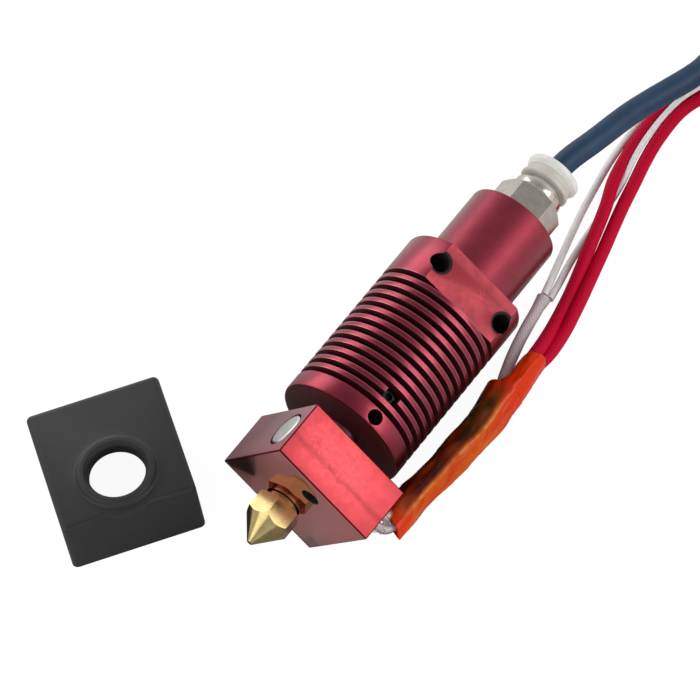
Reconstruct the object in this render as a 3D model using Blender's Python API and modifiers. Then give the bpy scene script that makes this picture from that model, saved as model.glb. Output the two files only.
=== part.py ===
"""Hotend assembly of a desktop filament printer, lying on a bench with its silicone sock beside it.

Run it with blender --background --python part.py. The hotend is modelled upright about its own axis,
nozzle down, and then laid on its side by the empties "lie" and "roll".
Sizes are in millimetres here and are turned into metres where the shapes are made.
"""

import math

import bmesh
import bpy
from mathutils import Vector

for old in list(bpy.data.objects):
    bpy.data.objects.remove(old, do_unlink=True)

MM = 0.001

# Where the assembly's natural reference point is on the bench: under the middle of the parts.
ORIGIN_X = -12.8
ORIGIN_Y = 25.598

# How the hotend lies.
AXIS_HEIGHT = 11.14
ROLL_DEG = -138.13
SINK_CLOCKING_DEG = -2.8

# Heater block, seen from its nozzle side. The axis of the hotend is off the block's middle.
BLOCK_X = 20.0
BLOCK_Y_LOW = -6.0
BLOCK_Y_HIGH = 14.0
BLOCK_H = 10.0
BLOCK_THREAD_R = 3.15
CARTRIDGE_Y = 9.4
CARTRIDGE_W = 5.1
CARTRIDGE_BORE_R = 3.2
CARTRIDGE_R = 2.95
THERMISTOR_Y = 4.97
THERMISTOR_HOLE_R = 0.9
CLAMP_Y = 1.2
CLAMP_HOLE_R = 1.45
GRUB_HOLE_R = 1.5

# Heat sink, from its lower ring to the top of its neck.
SINK_R = 11.0
SINK_CORE_R = 6.0
RING_W = 15.0
RING_TOP_W = 18.1
GROOVES = 13
GROOVE_PITCH = 1.818
GROOVE_WIDTH = 0.95
FLANGE_TOP_W = 48.4
NECK_R = 7.95
NECK_TOP_W = 62.2
FLAT_Y = 8.0
MOUNT_HOLE_R = 1.6
MOUNT_HOLE_X = 7.0
MOUNT_HOLE_W = 44.6
BREAK_BORE_R = 3.3
TUBE_BORE_R = 2.35
BREAK_BORE_TOP_W = 36.0
FITTING_BORE_W = 56.4
LOWER_GRUB_W = 16.6
UPPER_GRUB_W = 21.3

# Filament path.
TUBE_R = 2.0
TUBE_ID_R = 1.0
BREAK_R = 2.95
BREAK_NECK_R = 2.75
BREAK_ID_R = 2.15

# Nozzle.
NOZZLE_AF = 7.0
NOZZLE_TOP_W = -1.0
NOZZLE_TIP_W = -8.8
NOZZLE_TIP_R = 0.5
NOZZLE_CONE_DEG = 37.5
ORIFICE_R = 0.2

# Push-in fitting.
FITTING_AF = 10.0
FITTING_HEX_LOW_W = 62.5
FITTING_HEX_TOP_W = 67.5
FITTING_HEX_TURN_DEG = 40.4
COLLAR_R = 4.35
COLLAR_TOP_W = 69.2
FITTING_BORE_R = 2.3
CHAMBER_R = 3.4

# Silicone sock.
SOCK_X = 22.1
SOCK_Y = 23.0
SOCK_H = 11.44
SOCK_PLACE = (-28.75, -7.65)
SOCK_TURN_DEG = 53.8
SOCK_CAVITY = 20.2
SOCK_CAVITY_H = 10.0
SOCK_COLLAR_R = 6.65
SOCK_COLLAR_TOP = 12.45
SOCK_HOLE_R = 4.5
SOCK_HOLE_OFF = -4.0

# Wires.
TAIL_R = 0.9
LEAD_R = 1.0
SLEEVE_R = 1.0
THERMISTOR_TAIL_R = 0.65
THERMISTOR_LEAD_R = 0.5
TAPE_WALL = 0.15

# Coils of the spare length, lying on the bench: middle, mean radius, radius of the bundle, height.
TUBE_COIL = (-17.0, 146.0, 20.0, 4.4, 5.5)
HEATER_COIL = (32.0, 121.0, 15.5, 5.0, 6.1)
THERMISTOR_COIL = (28.0, 157.0, 9.5, 3.2, 4.3)


def new_collection(name):
    made = bpy.data.collections.new(name)
    bpy.context.scene.collection.children.link(made)
    return made


PARTS = new_collection("hotend_assembly")
CUTTERS = new_collection("cutters")
CUTTERS.hide_render = True


def new_empty(name, location=(0.0, 0.0, 0.0), rotation_deg=(0.0, 0.0, 0.0), parent=None):
    made = bpy.data.objects.new(name, None)
    made.empty_display_size = 0.01
    made.location = [v * MM for v in location]
    made.rotation_euler = [math.radians(v) for v in rotation_deg]
    made.parent = parent
    PARTS.objects.link(made)
    return made


def material(name, colour, roughness, metallic=0.0):
    made = bpy.data.materials.new(name)
    made.use_nodes = True
    shader = made.node_tree.nodes["Principled BSDF"]
    shader.inputs["Base Color"].default_value = (*colour, 1.0)
    shader.inputs["Roughness"].default_value = roughness
    shader.inputs["Metallic"].default_value = metallic
    return made


def add(name, data, look, parent, location=(0.0, 0.0, 0.0), rotation_deg=(0.0, 0.0, 0.0)):
    made = bpy.data.objects.new(name, data)
    made.location = [v * MM for v in location]
    made.rotation_euler = [math.radians(v) for v in rotation_deg]
    made.parent = parent
    if look is None:
        CUTTERS.objects.link(made)
        made.hide_render = True
        made.display_type = "WIRE"
    else:
        PARTS.objects.link(made)
        data.materials.append(look)
    return made


def smooth(mesh):
    mesh.shade_smooth()
    mesh.set_sharp_from_angle(angle=math.radians(35.0))


def box(name, size, look, parent, location=(0.0, 0.0, 0.0), rotation_deg=(0.0, 0.0, 0.0)):
    """A box whose middle is at the location."""
    shape = bmesh.new()
    bmesh.ops.create_cube(shape, size=MM)
    bmesh.ops.scale(shape, vec=size, verts=shape.verts)
    mesh = bpy.data.meshes.new(name)
    shape.to_mesh(mesh)
    shape.free()
    return add(name, mesh, look, parent, location, rotation_deg)


def prism(name, sides, radius, low, high, look, parent, turn_deg=0.0, location=(0.0, 0.0, 0.0),
          rotation_deg=(0.0, 0.0, 0.0)):
    """An upright prism or cylinder from low to high, about the location's Z axis."""
    shape = bmesh.new()
    bmesh.ops.create_cone(shape, cap_ends=True, segments=sides, radius1=radius * MM,
                          radius2=radius * MM, depth=(high - low) * MM)
    for vert in shape.verts:
        angle = math.atan2(vert.co.y, vert.co.x) + math.radians(turn_deg)
        reach = math.hypot(vert.co.x, vert.co.y)
        vert.co = (reach * math.cos(angle), reach * math.sin(angle), vert.co.z + (low + high) / 2 * MM)
    mesh = bpy.data.meshes.new(name)
    shape.to_mesh(mesh)
    shape.free()
    if sides > 8:
        smooth(mesh)
    return add(name, mesh, look, parent, location, rotation_deg)


def turned(name, profile, steps, look, parent, closed=True, location=(0.0, 0.0, 0.0),
           rotation_deg=(0.0, 0.0, 0.0)):
    """A turned piece. The profile is (radius, height) pairs, down its outer side and up its bore."""
    mesh = bpy.data.meshes.new(name)
    shape = bmesh.new()
    verts = [shape.verts.new((r * MM, 0.0, h * MM)) for r, h in profile]
    for here, there in zip(verts, verts[1:]):
        shape.edges.new((here, there))
    if closed:
        shape.edges.new((verts[-1], verts[0]))
    shape.to_mesh(mesh)
    shape.free()
    made = add(name, mesh, look, parent, location, rotation_deg)
    screw = made.modifiers.new("turn", "SCREW")
    screw.axis = "Z"
    screw.angle = math.radians(360.0)
    screw.steps = steps
    screw.render_steps = steps
    screw.use_merge_vertices = True
    screw.merge_threshold = 0.000001
    screw.use_smooth_shade = False
    return made


def combine(target, other, operation="DIFFERENCE"):
    step = target.modifiers.new(operation.lower() + "_" + other.name, "BOOLEAN")
    step.operation = operation
    step.solver = "EXACT"
    step.object = other


def curve_through(points, step):
    """Points at an even distance along a smooth curve through the given points."""
    points = [Vector(p) for p in points]
    ends = [points[0] * 2 - points[1]] + points + [points[-1] * 2 - points[-2]]
    fine = []
    for a, b, c, d in zip(ends, ends[1:], ends[2:], ends[3:]):
        for k in range(24):
            t = k / 24
            fine.append(0.5 * (2 * b + (c - a) * t + (2 * a - 5 * b + 4 * c - d) * t**2
                               + (3 * b - a - 3 * c + d) * t**3))
    fine.append(points[-1])
    run = [0.0]
    for here, there in zip(fine, fine[1:]):
        run.append(run[-1] + (there - here).length)
    count = max(2, round(run[-1] / step))
    found = []
    k = 0
    for i in range(count + 1):
        want = run[-1] * i / count
        while k < len(run) - 2 and run[k + 1] < want:
            k += 1
        share = (want - run[k]) / max(run[k + 1] - run[k], 1e-9)
        found.append(fine[k].lerp(fine[k + 1], share))
    return found


def wire(name, points, radius, step, look, parent):
    """A round wire or tube along a smooth route."""
    curve = bpy.data.curves.new(name, "CURVE")
    curve.dimensions = "3D"
    curve.bevel_depth = radius * MM
    curve.bevel_resolution = 2
    curve.use_fill_caps = True
    route = curve_through(points, step)
    spline = curve.splines.new("POLY")
    spline.points.add(len(route) - 1)
    for point, place in zip(spline.points, route):
        point.co = (*(place * MM), 1.0)
    return add(name, curve, look, parent)


def coil(name, spec, look, steps):
    """A tied coil of spare length, as one ring."""
    x, y, mean, bundle, height = spec
    profile = []
    for k in range(8):
        angle = math.radians(67.5 - 45.0 * k)
        profile.append((mean + bundle * math.cos(angle), bundle * math.sin(angle)))
    return turned(name, profile, steps, look, BENCH, location=(x, y, height))


def tie(name, spec, angle_deg, look):
    """A band round a coil's bundle of turns."""
    x, y, mean, bundle, height = spec
    inner = bundle + 0.4
    outer = bundle + 1.0
    profile = [(outer, 1.2), (outer, -1.2), (inner, -1.2), (inner, 1.2)]
    angle = math.radians(angle_deg)
    place = (x + mean * math.cos(angle), y + mean * math.sin(angle), height)
    return turned(name, profile, 16, look, BENCH, location=place, rotation_deg=(90.0, 0.0, angle_deg))


def grub_screw(name, radius, low, high, socket_high, look, parent, rotation_deg=(0.0, 0.0, 0.0),
               location=(0.0, 0.0, 0.0)):
    """A headless screw along its own Z, with a hex socket in its upper or lower end."""
    body = prism(name, 16, radius, low, high, look, parent, location=location, rotation_deg=rotation_deg)
    if socket_high:
        socket = prism(name + "_socket", 6, 0.72, high - 1.0, high + 1.0, None, parent,
                       location=location, rotation_deg=rotation_deg)
    else:
        socket = prism(name + "_socket", 6, 0.72, low - 1.0, low + 0.7, None, parent,
                       location=location, rotation_deg=rotation_deg)
    combine(body, socket)
    return body


RED = material("red_anodised_aluminium", (0.55, 0.03, 0.04), 0.35, 0.9)
STEEL = material("heat_break_steel", (0.6, 0.58, 0.55), 0.3, 1.0)
BRASS = material("brass", (0.78, 0.57, 0.24), 0.3, 1.0)
NICKEL = material("nickel_plated_brass", (0.55, 0.5, 0.44), 0.25, 1.0)
CARTRIDGE_STEEL = material("cartridge_steel", (0.68, 0.66, 0.62), 0.35, 1.0)
BLACK_STEEL = material("black_oxide_steel", (0.03, 0.03, 0.03), 0.4, 0.8)
BLUE_PTFE = material("blue_tube", (0.02, 0.07, 0.15), 0.4)
WHITE_PLASTIC = material("white_plastic", (0.8, 0.8, 0.78), 0.45)
BLACK_RUBBER = material("black_rubber", (0.02, 0.02, 0.02), 0.7)
AMBER_TAPE = material("amber_tape", (0.6, 0.08, 0.01), 0.3)
RED_WIRE = material("red_braid", (0.6, 0.02, 0.02), 0.75)
WHITE_WIRE = material("white_wire", (0.8, 0.8, 0.78), 0.5)
SLEEVE_WHITE = material("glass_fibre_sleeve", (0.75, 0.74, 0.7), 0.6)
GLASS = material("thermistor_glass", (0.25, 0.1, 0.05), 0.1)
CRIMP_METAL = material("crimp_tin", (0.6, 0.6, 0.6), 0.4, 1.0)
CHARCOAL = material("charcoal_silicone", (0.03, 0.029, 0.028), 0.6)
BLACK_PLASTIC = material("black_plastic", (0.02, 0.02, 0.02), 0.5)

BENCH = new_empty("bench", (-ORIGIN_X, -ORIGIN_Y, 0.0))
LIE = new_empty("lie", (0.0, 0.0, AXIS_HEIGHT), (-90.0, 0.0, 0.0), BENCH)
ROLL = new_empty("roll", (0.0, 0.0, 0.0), (0.0, 0.0, ROLL_DEG), LIE)
CLOCKING = new_empty("clocking", (0.0, 0.0, 0.0), (0.0, 0.0, SINK_CLOCKING_DEG), ROLL)
RING_SEAT = new_empty("ring_seat", (0.0, 0.0, COLLAR_TOP_W), (0.0, 0.0, 0.0), ROLL)
SOCK_SEAT = new_empty("sock_seat", (*SOCK_PLACE, 0.0), (0.0, 0.0, SOCK_TURN_DEG), BENCH)


# Heat sink: a ring, thirteen grooves, the flange and the neck, turned in one profile.
def sink_profile():
    points = [
        (NECK_R - 0.4, NECK_TOP_W), (NECK_R, NECK_TOP_W - 0.4), (NECK_R, FLANGE_TOP_W),
        (SINK_R - 0.4, FLANGE_TOP_W), (SINK_R, FLANGE_TOP_W - 0.4),
    ]
    for k in reversed(range(GROOVES)):
        low = RING_TOP_W + k * GROOVE_PITCH
        high = low + GROOVE_WIDTH
        points += [(SINK_R, high), (SINK_CORE_R, high), (SINK_CORE_R, low), (SINK_R, low)]
    points += [
        (SINK_R, RING_W + 0.4), (SINK_R - 0.4, RING_W), (BREAK_BORE_R, RING_W),
        (BREAK_BORE_R, BREAK_BORE_TOP_W), (TUBE_BORE_R, BREAK_BORE_TOP_W),
        (TUBE_BORE_R, FITTING_BORE_W), (BREAK_BORE_R, FITTING_BORE_W), (BREAK_BORE_R, NECK_TOP_W),
    ]
    return points


heat_sink = turned("heat_sink", sink_profile(), 32, RED, CLOCKING)
flat_cut = box("flat_cut", (30.0, 6.0, FLANGE_TOP_W - 39.9), None, CLOCKING,
               (0.0, FLAT_Y + 3.0, (FLANGE_TOP_W + 40.9) / 2))
combine(heat_sink, flat_cut)
for side in (-1, 1):
    hole = prism("mount_hole_%d" % (side + 2), 16, MOUNT_HOLE_R, -15.0, 15.0, None, CLOCKING,
                 location=(side * MOUNT_HOLE_X, 0.0, MOUNT_HOLE_W), rotation_deg=(90.0, 0.0, 0.0))
    combine(heat_sink, hole)
lower_grub_hole = prism("lower_grub_hole", 16, 1.3, 2.6, 13.0, None, CLOCKING,
                        location=(0.0, 0.0, LOWER_GRUB_W), rotation_deg=(-90.0, 0.0, 0.0))
combine(heat_sink, lower_grub_hole)
upper_grub_hole = prism("upper_grub_hole", 16, 1.38, 2.6, 13.0, None, CLOCKING,
                        location=(0.0, 0.0, UPPER_GRUB_W), rotation_deg=(-90.0, 0.0, 0.0))
combine(heat_sink, upper_grub_hole)
grub_screw("heat_break_grub_lower", 1.1, 3.5, 7.5, True, BLACK_STEEL, CLOCKING, (-90.0, 0.0, 0.0),
           (0.0, 0.0, LOWER_GRUB_W))
grub_screw("heat_break_grub_upper", 1.15, 3.5, 9.3, True, BLACK_STEEL, CLOCKING, (-90.0, 0.0, 0.0),
           (0.0, 0.0, UPPER_GRUB_W))

# Heat break: a threaded tube with a plain neck between the block and the heat sink.
turned("heat_break", [
    (BREAK_R - 0.3, 30.5), (BREAK_R, 30.2), (BREAK_R, 15.6), (BREAK_NECK_R, 15.4),
    (BREAK_NECK_R, 9.8), (BREAK_R, 9.6), (BREAK_R, 4.8), (BREAK_R - 0.3, 4.5),
    (BREAK_ID_R, 4.5), (BREAK_ID_R, 30.5),
], 20, STEEL, ROLL)

# The tube's run inside the hotend, down to the back of the nozzle.
turned("tube_inner_run", [
    (TUBE_R, 63.0), (TUBE_R, 4.7), (TUBE_ID_R, 4.7), (TUBE_ID_R, 63.0),
], 20, BLUE_PTFE, ROLL)

# Heater block.
heater_block = box("heater_block", (BLOCK_X, BLOCK_Y_HIGH - BLOCK_Y_LOW, BLOCK_H), RED, ROLL,
                   (0.0, (BLOCK_Y_LOW + BLOCK_Y_HIGH) / 2, BLOCK_H / 2))
edges = heater_block.modifiers.new("edges", "BEVEL")
edges.width = 0.2 * MM
edges.segments = 1
edges.limit_method = "ANGLE"
thread_hole = prism("thread_hole", 20, BLOCK_THREAD_R, -1.0, 11.0, None, ROLL)
combine(heater_block, thread_hole)
cartridge_bore = prism("cartridge_bore", 24, CARTRIDGE_BORE_R, -11.0, 11.0, None, ROLL,
                       location=(0.0, CARTRIDGE_Y, CARTRIDGE_W), rotation_deg=(0.0, 90.0, 0.0))
combine(heater_block, cartridge_bore)
cartridge_grub_hole = prism("cartridge_grub_hole", 16, GRUB_HOLE_R, -1.0, 3.0, None, ROLL,
                            location=(0.0, 9.5, 0.0))
combine(heater_block, cartridge_grub_hole)
thermistor_hole = prism("thermistor_hole", 16, THERMISTOR_HOLE_R, 1.0, 11.0, None, ROLL,
                        location=(0.0, THERMISTOR_Y, 5.0), rotation_deg=(0.0, -90.0, 0.0))
combine(heater_block, thermistor_hole)
clamp_hole = prism("clamp_hole", 16, CLAMP_HOLE_R, 5.0, 11.0, None, ROLL,
                   location=(0.0, CLAMP_Y, 5.0), rotation_deg=(0.0, -90.0, 0.0))
combine(heater_block, clamp_hole)

grub_screw("cartridge_grub_screw", 1.25, 0.25, 1.75, False, BLACK_STEEL, ROLL, location=(0.0, 9.5, 0.0))

turned("heater_cartridge", [
    (0.0, 10.1), (CARTRIDGE_R - 0.35, 10.1), (CARTRIDGE_R, 9.75), (CARTRIDGE_R, -9.7), (0.0, -9.7),
], 24, CARTRIDGE_STEEL, ROLL, closed=False, location=(0.0, CARTRIDGE_Y, CARTRIDGE_W),
       rotation_deg=(0.0, 90.0, 0.0))

clamp_screw = turned("thermistor_clamp_screw", [
    (0.0, 11.95), (1.3, 11.9), (2.2, 11.5), (2.75, 10.8), (2.75, 10.3), (1.15, 10.3), (1.15, 5.6), (0.0, 5.6),
], 20, STEEL, ROLL, closed=False, location=(0.0, CLAMP_Y, 5.0), rotation_deg=(0.0, -90.0, 0.0))
clamp_socket = prism("clamp_socket", 6, 1.15, 10.9, 13.0, None, ROLL, location=(0.0, CLAMP_Y, 5.0),
                     rotation_deg=(0.0, -90.0, 0.0))
combine(clamp_screw, clamp_socket)

turned("thermistor_bead", [
    (0.0, 3.6), (0.4, 3.45), (0.6, 3.1), (0.6, 1.9), (0.4, 1.5), (0.0, 1.35),
], 12, GLASS, ROLL, closed=False, location=(0.0, THERMISTOR_Y, 5.0), rotation_deg=(0.0, -90.0, 0.0))

# Nozzle: a hexagon whose lower end runs into the cone, and a threaded stem up into the block.
CONE = math.tan(math.radians(NOZZLE_CONE_DEG))
NOZZLE_CORNER_R = NOZZLE_AF / 2 / math.cos(math.radians(30.0))
nozzle = prism("nozzle", 6, NOZZLE_CORNER_R, NOZZLE_TIP_W - 1.0, NOZZLE_TOP_W, BRASS, ROLL)
cone_end = NOZZLE_TIP_W + (5.0 - NOZZLE_TIP_R) / CONE
nozzle_cone = turned("nozzle_cone", [
    (0.0, 0.0), (5.0, 0.0), (5.0, cone_end), (NOZZLE_TIP_R, NOZZLE_TIP_W), (0.0, NOZZLE_TIP_W),
], 24, None, ROLL, closed=False)
combine(nozzle, nozzle_cone, "INTERSECT")
nozzle_stem = prism("nozzle_stem", 20, 2.8, NOZZLE_TOP_W - 0.5, 4.2, None, ROLL)
combine(nozzle, nozzle_stem, "UNION")
nozzle_bore = turned("nozzle_bore", [
    (0.0, 5.0), (TUBE_ID_R, 5.0), (TUBE_ID_R, -6.9), (ORIFICE_R, -7.9), (ORIFICE_R, -10.0), (0.0, -10.0),
], 12, None, ROLL, closed=False)
combine(nozzle, nozzle_bore)

# Push-in fitting: hexagon, round collar and threaded stem, with the chamber for its collet.
FITTING_CORNER_R = FITTING_AF / 2 / math.cos(math.radians(30.0))
fitting = prism("fitting_body", 6, FITTING_CORNER_R, FITTING_HEX_LOW_W, FITTING_HEX_TOP_W, NICKEL, ROLL,
                turn_deg=FITTING_HEX_TURN_DEG)
hex_trim = turned("fitting_hex_trim", [
    (0.0, FITTING_HEX_TOP_W + 1.0), (4.9 - 0.6, FITTING_HEX_TOP_W + 1.0), (4.9, FITTING_HEX_TOP_W),
    (7.0, FITTING_HEX_TOP_W - 1.0), (7.0, FITTING_HEX_LOW_W + 1.0), (5.1, FITTING_HEX_LOW_W),
    (0.0, FITTING_HEX_LOW_W - 1.0),
], 24, None, ROLL, closed=False)
combine(fitting, hex_trim, "INTERSECT")
fitting_turned = turned("fitting_turned", [
    (0.0, COLLAR_TOP_W), (COLLAR_R - 0.35, COLLAR_TOP_W), (COLLAR_R, COLLAR_TOP_W - 0.35),
    (COLLAR_R, FITTING_HEX_LOW_W + 1.0), (2.95, FITTING_HEX_LOW_W + 1.0), (2.95, 57.2), (2.65, 56.9),
    (0.0, 56.9),
], 24, None, ROLL, closed=False)
combine(fitting, fitting_turned, "UNION")
fitting_bore = turned("fitting_bore", [
    (0.0, COLLAR_TOP_W + 1.0), (CHAMBER_R, COLLAR_TOP_W + 1.0), (CHAMBER_R, 63.2), (FITTING_BORE_R, 63.2),
    (FITTING_BORE_R, 56.0), (0.0, 56.0),
], 24, None, ROLL, closed=False)
combine(fitting, fitting_bore)

o_ring = []
for step in range(8):
    around = math.radians(67.5 - 45.0 * step)
    o_ring.append((2.82 + 0.36 * math.cos(around), 63.95 + 0.36 * math.sin(around)))
turned("fitting_o_ring", o_ring, 20, BLACK_RUBBER, ROLL)

claws = turned("collet_claws", [
    (3.05, 65.7), (3.1, 65.2), (2.9, 64.7), (2.3, 64.7), (2.45, 65.2), (2.6, 65.7),
], 20, STEEL, ROLL)
for quarter in range(2):
    slot = box("claw_slot_%d" % (quarter + 1), (8.0, 0.6, 1.0), None, ROLL, (0.0, 0.0, 65.6),
               (0.0, 0.0, 45.0 + 90.0 * quarter))
    combine(claws, slot)

# Release ring: it is pushed towards the collar to let go of the tube. Its origin is on the axis.
turned("release_ring", [
    (4.2, 4.75), (4.6, 4.5), (4.75, 4.0), (4.75, 3.2), (4.45, 2.9), (4.25, 2.5), (4.25, 2.3), (4.6, 2.1),
    (4.65, 1.9), (4.65, 1.3), (4.5, 1.1), (3.0, 1.1), (3.0, -2.4), (2.3, -2.4), (2.3, 4.45), (2.6, 4.75),
], 28, WHITE_PLASTIC, RING_SEAT)

# Wires from the block's side: the heater's two tails, then their crimps and the long leads.
TAIL_A = [
    (13.94, 6.2, 11.27), (14.75, 6.25, 10.55), (15.25, 6.9, 9.9), (15.0, 8.2, 9.25), (14.6, 10.0, 8.3),
    (13.45, 14.2, 6.45), (13.4, 18.5, 5.45), (13.4, 24.0, 4.6),
]
TAIL_B = [
    (13.94, 4.0, 11.27), (15.4, 4.0, 9.96), (16.6, 4.7, 9.05), (17.0, 6.4, 8.75), (16.6, 10.0, 8.0),
    (15.6, 14.2, 6.45), (15.6, 18.5, 5.45), (15.65, 24.0, 4.6),
]
CRIMP_A = [(13.4, 24.3, 4.55), (13.38, 26.8, 4.2), (13.35, 29.3, 3.88)]
CRIMP_B = [(15.65, 24.3, 4.55), (15.68, 26.8, 4.2), (15.7, 29.3, 3.88)]
wire("heater_tail_a", TAIL_A, TAIL_R, 1.8, SLEEVE_WHITE, BENCH)
wire("heater_tail_b", TAIL_B, TAIL_R, 1.8, SLEEVE_WHITE, BENCH)
wire("heater_crimp_a", CRIMP_A, 0.95, 2.5, CRIMP_METAL, BENCH)
wire("heater_crimp_b", CRIMP_B, 0.95, 2.5, CRIMP_METAL, BENCH)

THERMISTOR_TAIL = [
    (6.2, 5.0, 12.19), (9.1, 5.0, 9.56), (11.1, 5.0, 7.76), (12.35, 5.3, 6.75), (13.5, 6.6, 6.2),
    (14.7, 9.0, 5.95), (14.55, 14.2, 4.55), (14.5, 20.0, 3.35),
]
wire("thermistor_tail", THERMISTOR_TAIL, THERMISTOR_TAIL_R, 1.8, WHITE_WIRE, BENCH)
SLEEVE = [
    (14.5, 20.3, 3.3), (14.5, 25.0, 2.55), (14.4, 30.0, 1.85), (13.6, 35.0, 1.5), (12.7, 39.2, 1.5),
    (11.3, 42.5, 1.2), (9.6, 48.5, 1.1), (8.5, 54.5, 1.1), (8.0, 58.0, 1.1),
]
wire("thermistor_sleeve", SLEEVE, SLEEVE_R, 2.8, SLEEVE_WHITE, BENCH)

LEAD_A = [
    (13.35, 29.6, 3.85), (13.4, 33.0, 3.75), (13.6, 36.0, 3.85), (14.1, 40.0, 4.0), (14.4, 43.0, 3.9),
    (14.2, 46.6, 3.75), (13.7, 49.8, 2.95), (12.9, 53.35, 1.9), (12.0, 57.16, 1.25), (11.2, 60.77, 1.15),
    (10.14, 65.23, 1.6), (9.13, 69.45, 2.35), (8.05, 73.43, 2.5), (6.73, 77.74, 2.5), (5.2, 81.5, 2.3),
    (4.25, 84.5, 1.7), (3.6, 87.42, 1.3), (3.05, 91.76, 1.12), (2.9, 97.4, 1.1), (3.75, 102.03, 1.1),
    (5.3, 106.3, 1.1), (7.3, 110.9, 1.1), (9.6, 116.0, 1.3),
]
LEAD_B = [
    (15.7, 29.6, 3.85), (15.75, 33.0, 3.5), (15.6, 36.0, 2.9), (15.2, 40.0, 1.85), (14.8, 43.0, 1.5),
    (14.75, 46.6, 1.3), (15.1, 50.0, 1.12), (14.8, 54.64, 1.1), (14.1, 58.3, 1.1), (13.3, 61.9, 1.1),
    (12.15, 66.5, 1.1), (10.95, 71.31, 1.1), (9.8, 75.52, 1.1), (8.6, 79.83, 1.1), (7.55, 84.37, 1.1),
    (6.55, 88.87, 1.1), (5.85, 93.54, 1.1), (5.7, 98.98, 1.1), (6.35, 102.5, 1.1), (8.1, 106.3, 1.1),
    (11.4, 111.4, 1.2),
]
wire("heater_lead_a", LEAD_A, LEAD_R, 3.6, RED_WIRE, BENCH)
wire("heater_lead_b", LEAD_B, LEAD_R, 3.6, RED_WIRE, BENCH)

THERMISTOR_A = [
    (7.75, 58.4, 1.2), (6.73, 61.9, 0.75), (5.39, 66.81, 0.56), (4.23, 71.38, 0.56), (3.18, 75.88, 0.56),
    (2.33, 80.52, 0.56), (1.57, 85.25, 0.56), (1.18, 89.4, 0.56), (1.1, 93.54, 0.56), (1.3, 97.8, 0.56),
    (2.15, 102.15, 0.56), (3.4, 106.2, 0.56), (5.0, 112.0, 0.56), (6.1, 118.0, 0.56), (6.6, 124.0, 0.56),
    (8.0, 131.0, 0.56), (10.6, 139.5, 0.56), (13.9, 148.0, 0.56),
]
THERMISTOR_B = [
    (8.9, 58.4, 1.0), (8.2, 62.06, 0.6), (7.5, 65.67, 0.56), (7.0, 69.52, 0.56), (6.55, 74.23, 0.56),
    (6.3, 78.19, 0.58), (6.15, 81.1, 0.85), (5.85, 84.0, 1.4), (5.1, 87.6, 1.85), (4.5, 91.8, 1.95),
    (4.35, 97.0, 2.05), (4.95, 101.8, 2.35), (6.4, 105.7, 2.6), (7.5, 109.3, 2.75), (8.25, 113.0, 2.75),
    (8.35, 116.2, 2.6), (8.3, 119.8, 1.0), (8.2, 122.5, 0.6), (8.4, 127.0, 0.56), (10.4, 134.5, 0.56),
    (13.2, 142.5, 0.56), (15.3, 147.6, 0.56),
]
wire("thermistor_lead_a", THERMISTOR_A, THERMISTOR_LEAD_R, 2.6, WHITE_WIRE, BENCH)
wire("thermistor_lead_b", THERMISTOR_B, THERMISTOR_LEAD_R, 2.6, WHITE_WIRE, BENCH)

TUBE = [
    (0.0, 63.3, 11.14), (0.0, 68.0, 11.14), (0.0, 74.0, 11.14), (0.45, 78.0, 11.05), (1.5, 82.65, 10.7),
    (2.52, 90.51, 9.2), (3.4, 95.94, 7.7), (5.94, 106.19, 5.8), (6.1, 112.0, 5.6), (5.6, 119.0, 4.3),
    (4.9, 126.0, 2.9), (4.4, 131.0, 2.3),
]
wire("bowden_tube", TUBE, TUBE_R, 4.5, BLUE_PTFE, BENCH)


# Tape round the bundle of wires: an open loft between sections across the bundle, with its wall.
def section(x, y, z, half_width, half_height, count=18):
    ring = []
    for k in range(count):
        angle = math.tau * k / count
        c = math.cos(angle)
        s = math.sin(angle)
        ring.append((
            x + half_width * math.copysign(abs(c) ** 0.75, c), y,
            z + half_height * math.copysign(abs(s) ** 0.75, s),
        ))
    return ring


def tape(name, stations, look):
    shape = bmesh.new()
    rings = []
    for station in stations:
        rings.append([shape.verts.new([v * MM for v in p]) for p in section(*station)])
    for low, high in zip(rings, rings[1:]):
        for k in range(len(low)):
            after = (k + 1) % len(low)
            shape.faces.new((low[k], high[k], high[after], low[after]))
    bmesh.ops.recalc_face_normals(shape, faces=shape.faces)
    mesh = bpy.data.meshes.new(name)
    shape.to_mesh(mesh)
    shape.free()
    smooth(mesh)
    made = add(name, mesh, look, BENCH)
    wall = made.modifiers.new("wall", "SOLIDIFY")
    wall.thickness = TAPE_WALL * MM
    wall.offset = -1.0
    return made


tape("tape_wrap", [
    (15.6, 8.8, 7.7, 2.75, 2.8), (14.9, 11.6, 6.6, 2.6, 2.7), (14.5, 14.6, 5.6, 2.6, 2.75),
    (14.5, 18.5, 4.6, 2.6, 2.75), (14.5, 22.6, 3.85, 2.65, 2.8), (14.5, 28.0, 3.15, 2.75, 2.85),
    (14.45, 33.0, 2.8, 2.95, 2.75), (14.15, 36.5, 2.8, 3.1, 2.75), (13.8, 39.4, 2.8, 3.2, 2.75),
], AMBER_TAPE)
tape("tape_wrap_end", [
    (14.75, 41.8, 2.75, 1.95, 2.7), (14.6, 43.6, 2.7, 1.9, 2.65), (14.4, 46.6, 2.65, 1.75, 2.6),
], AMBER_TAPE)

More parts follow.
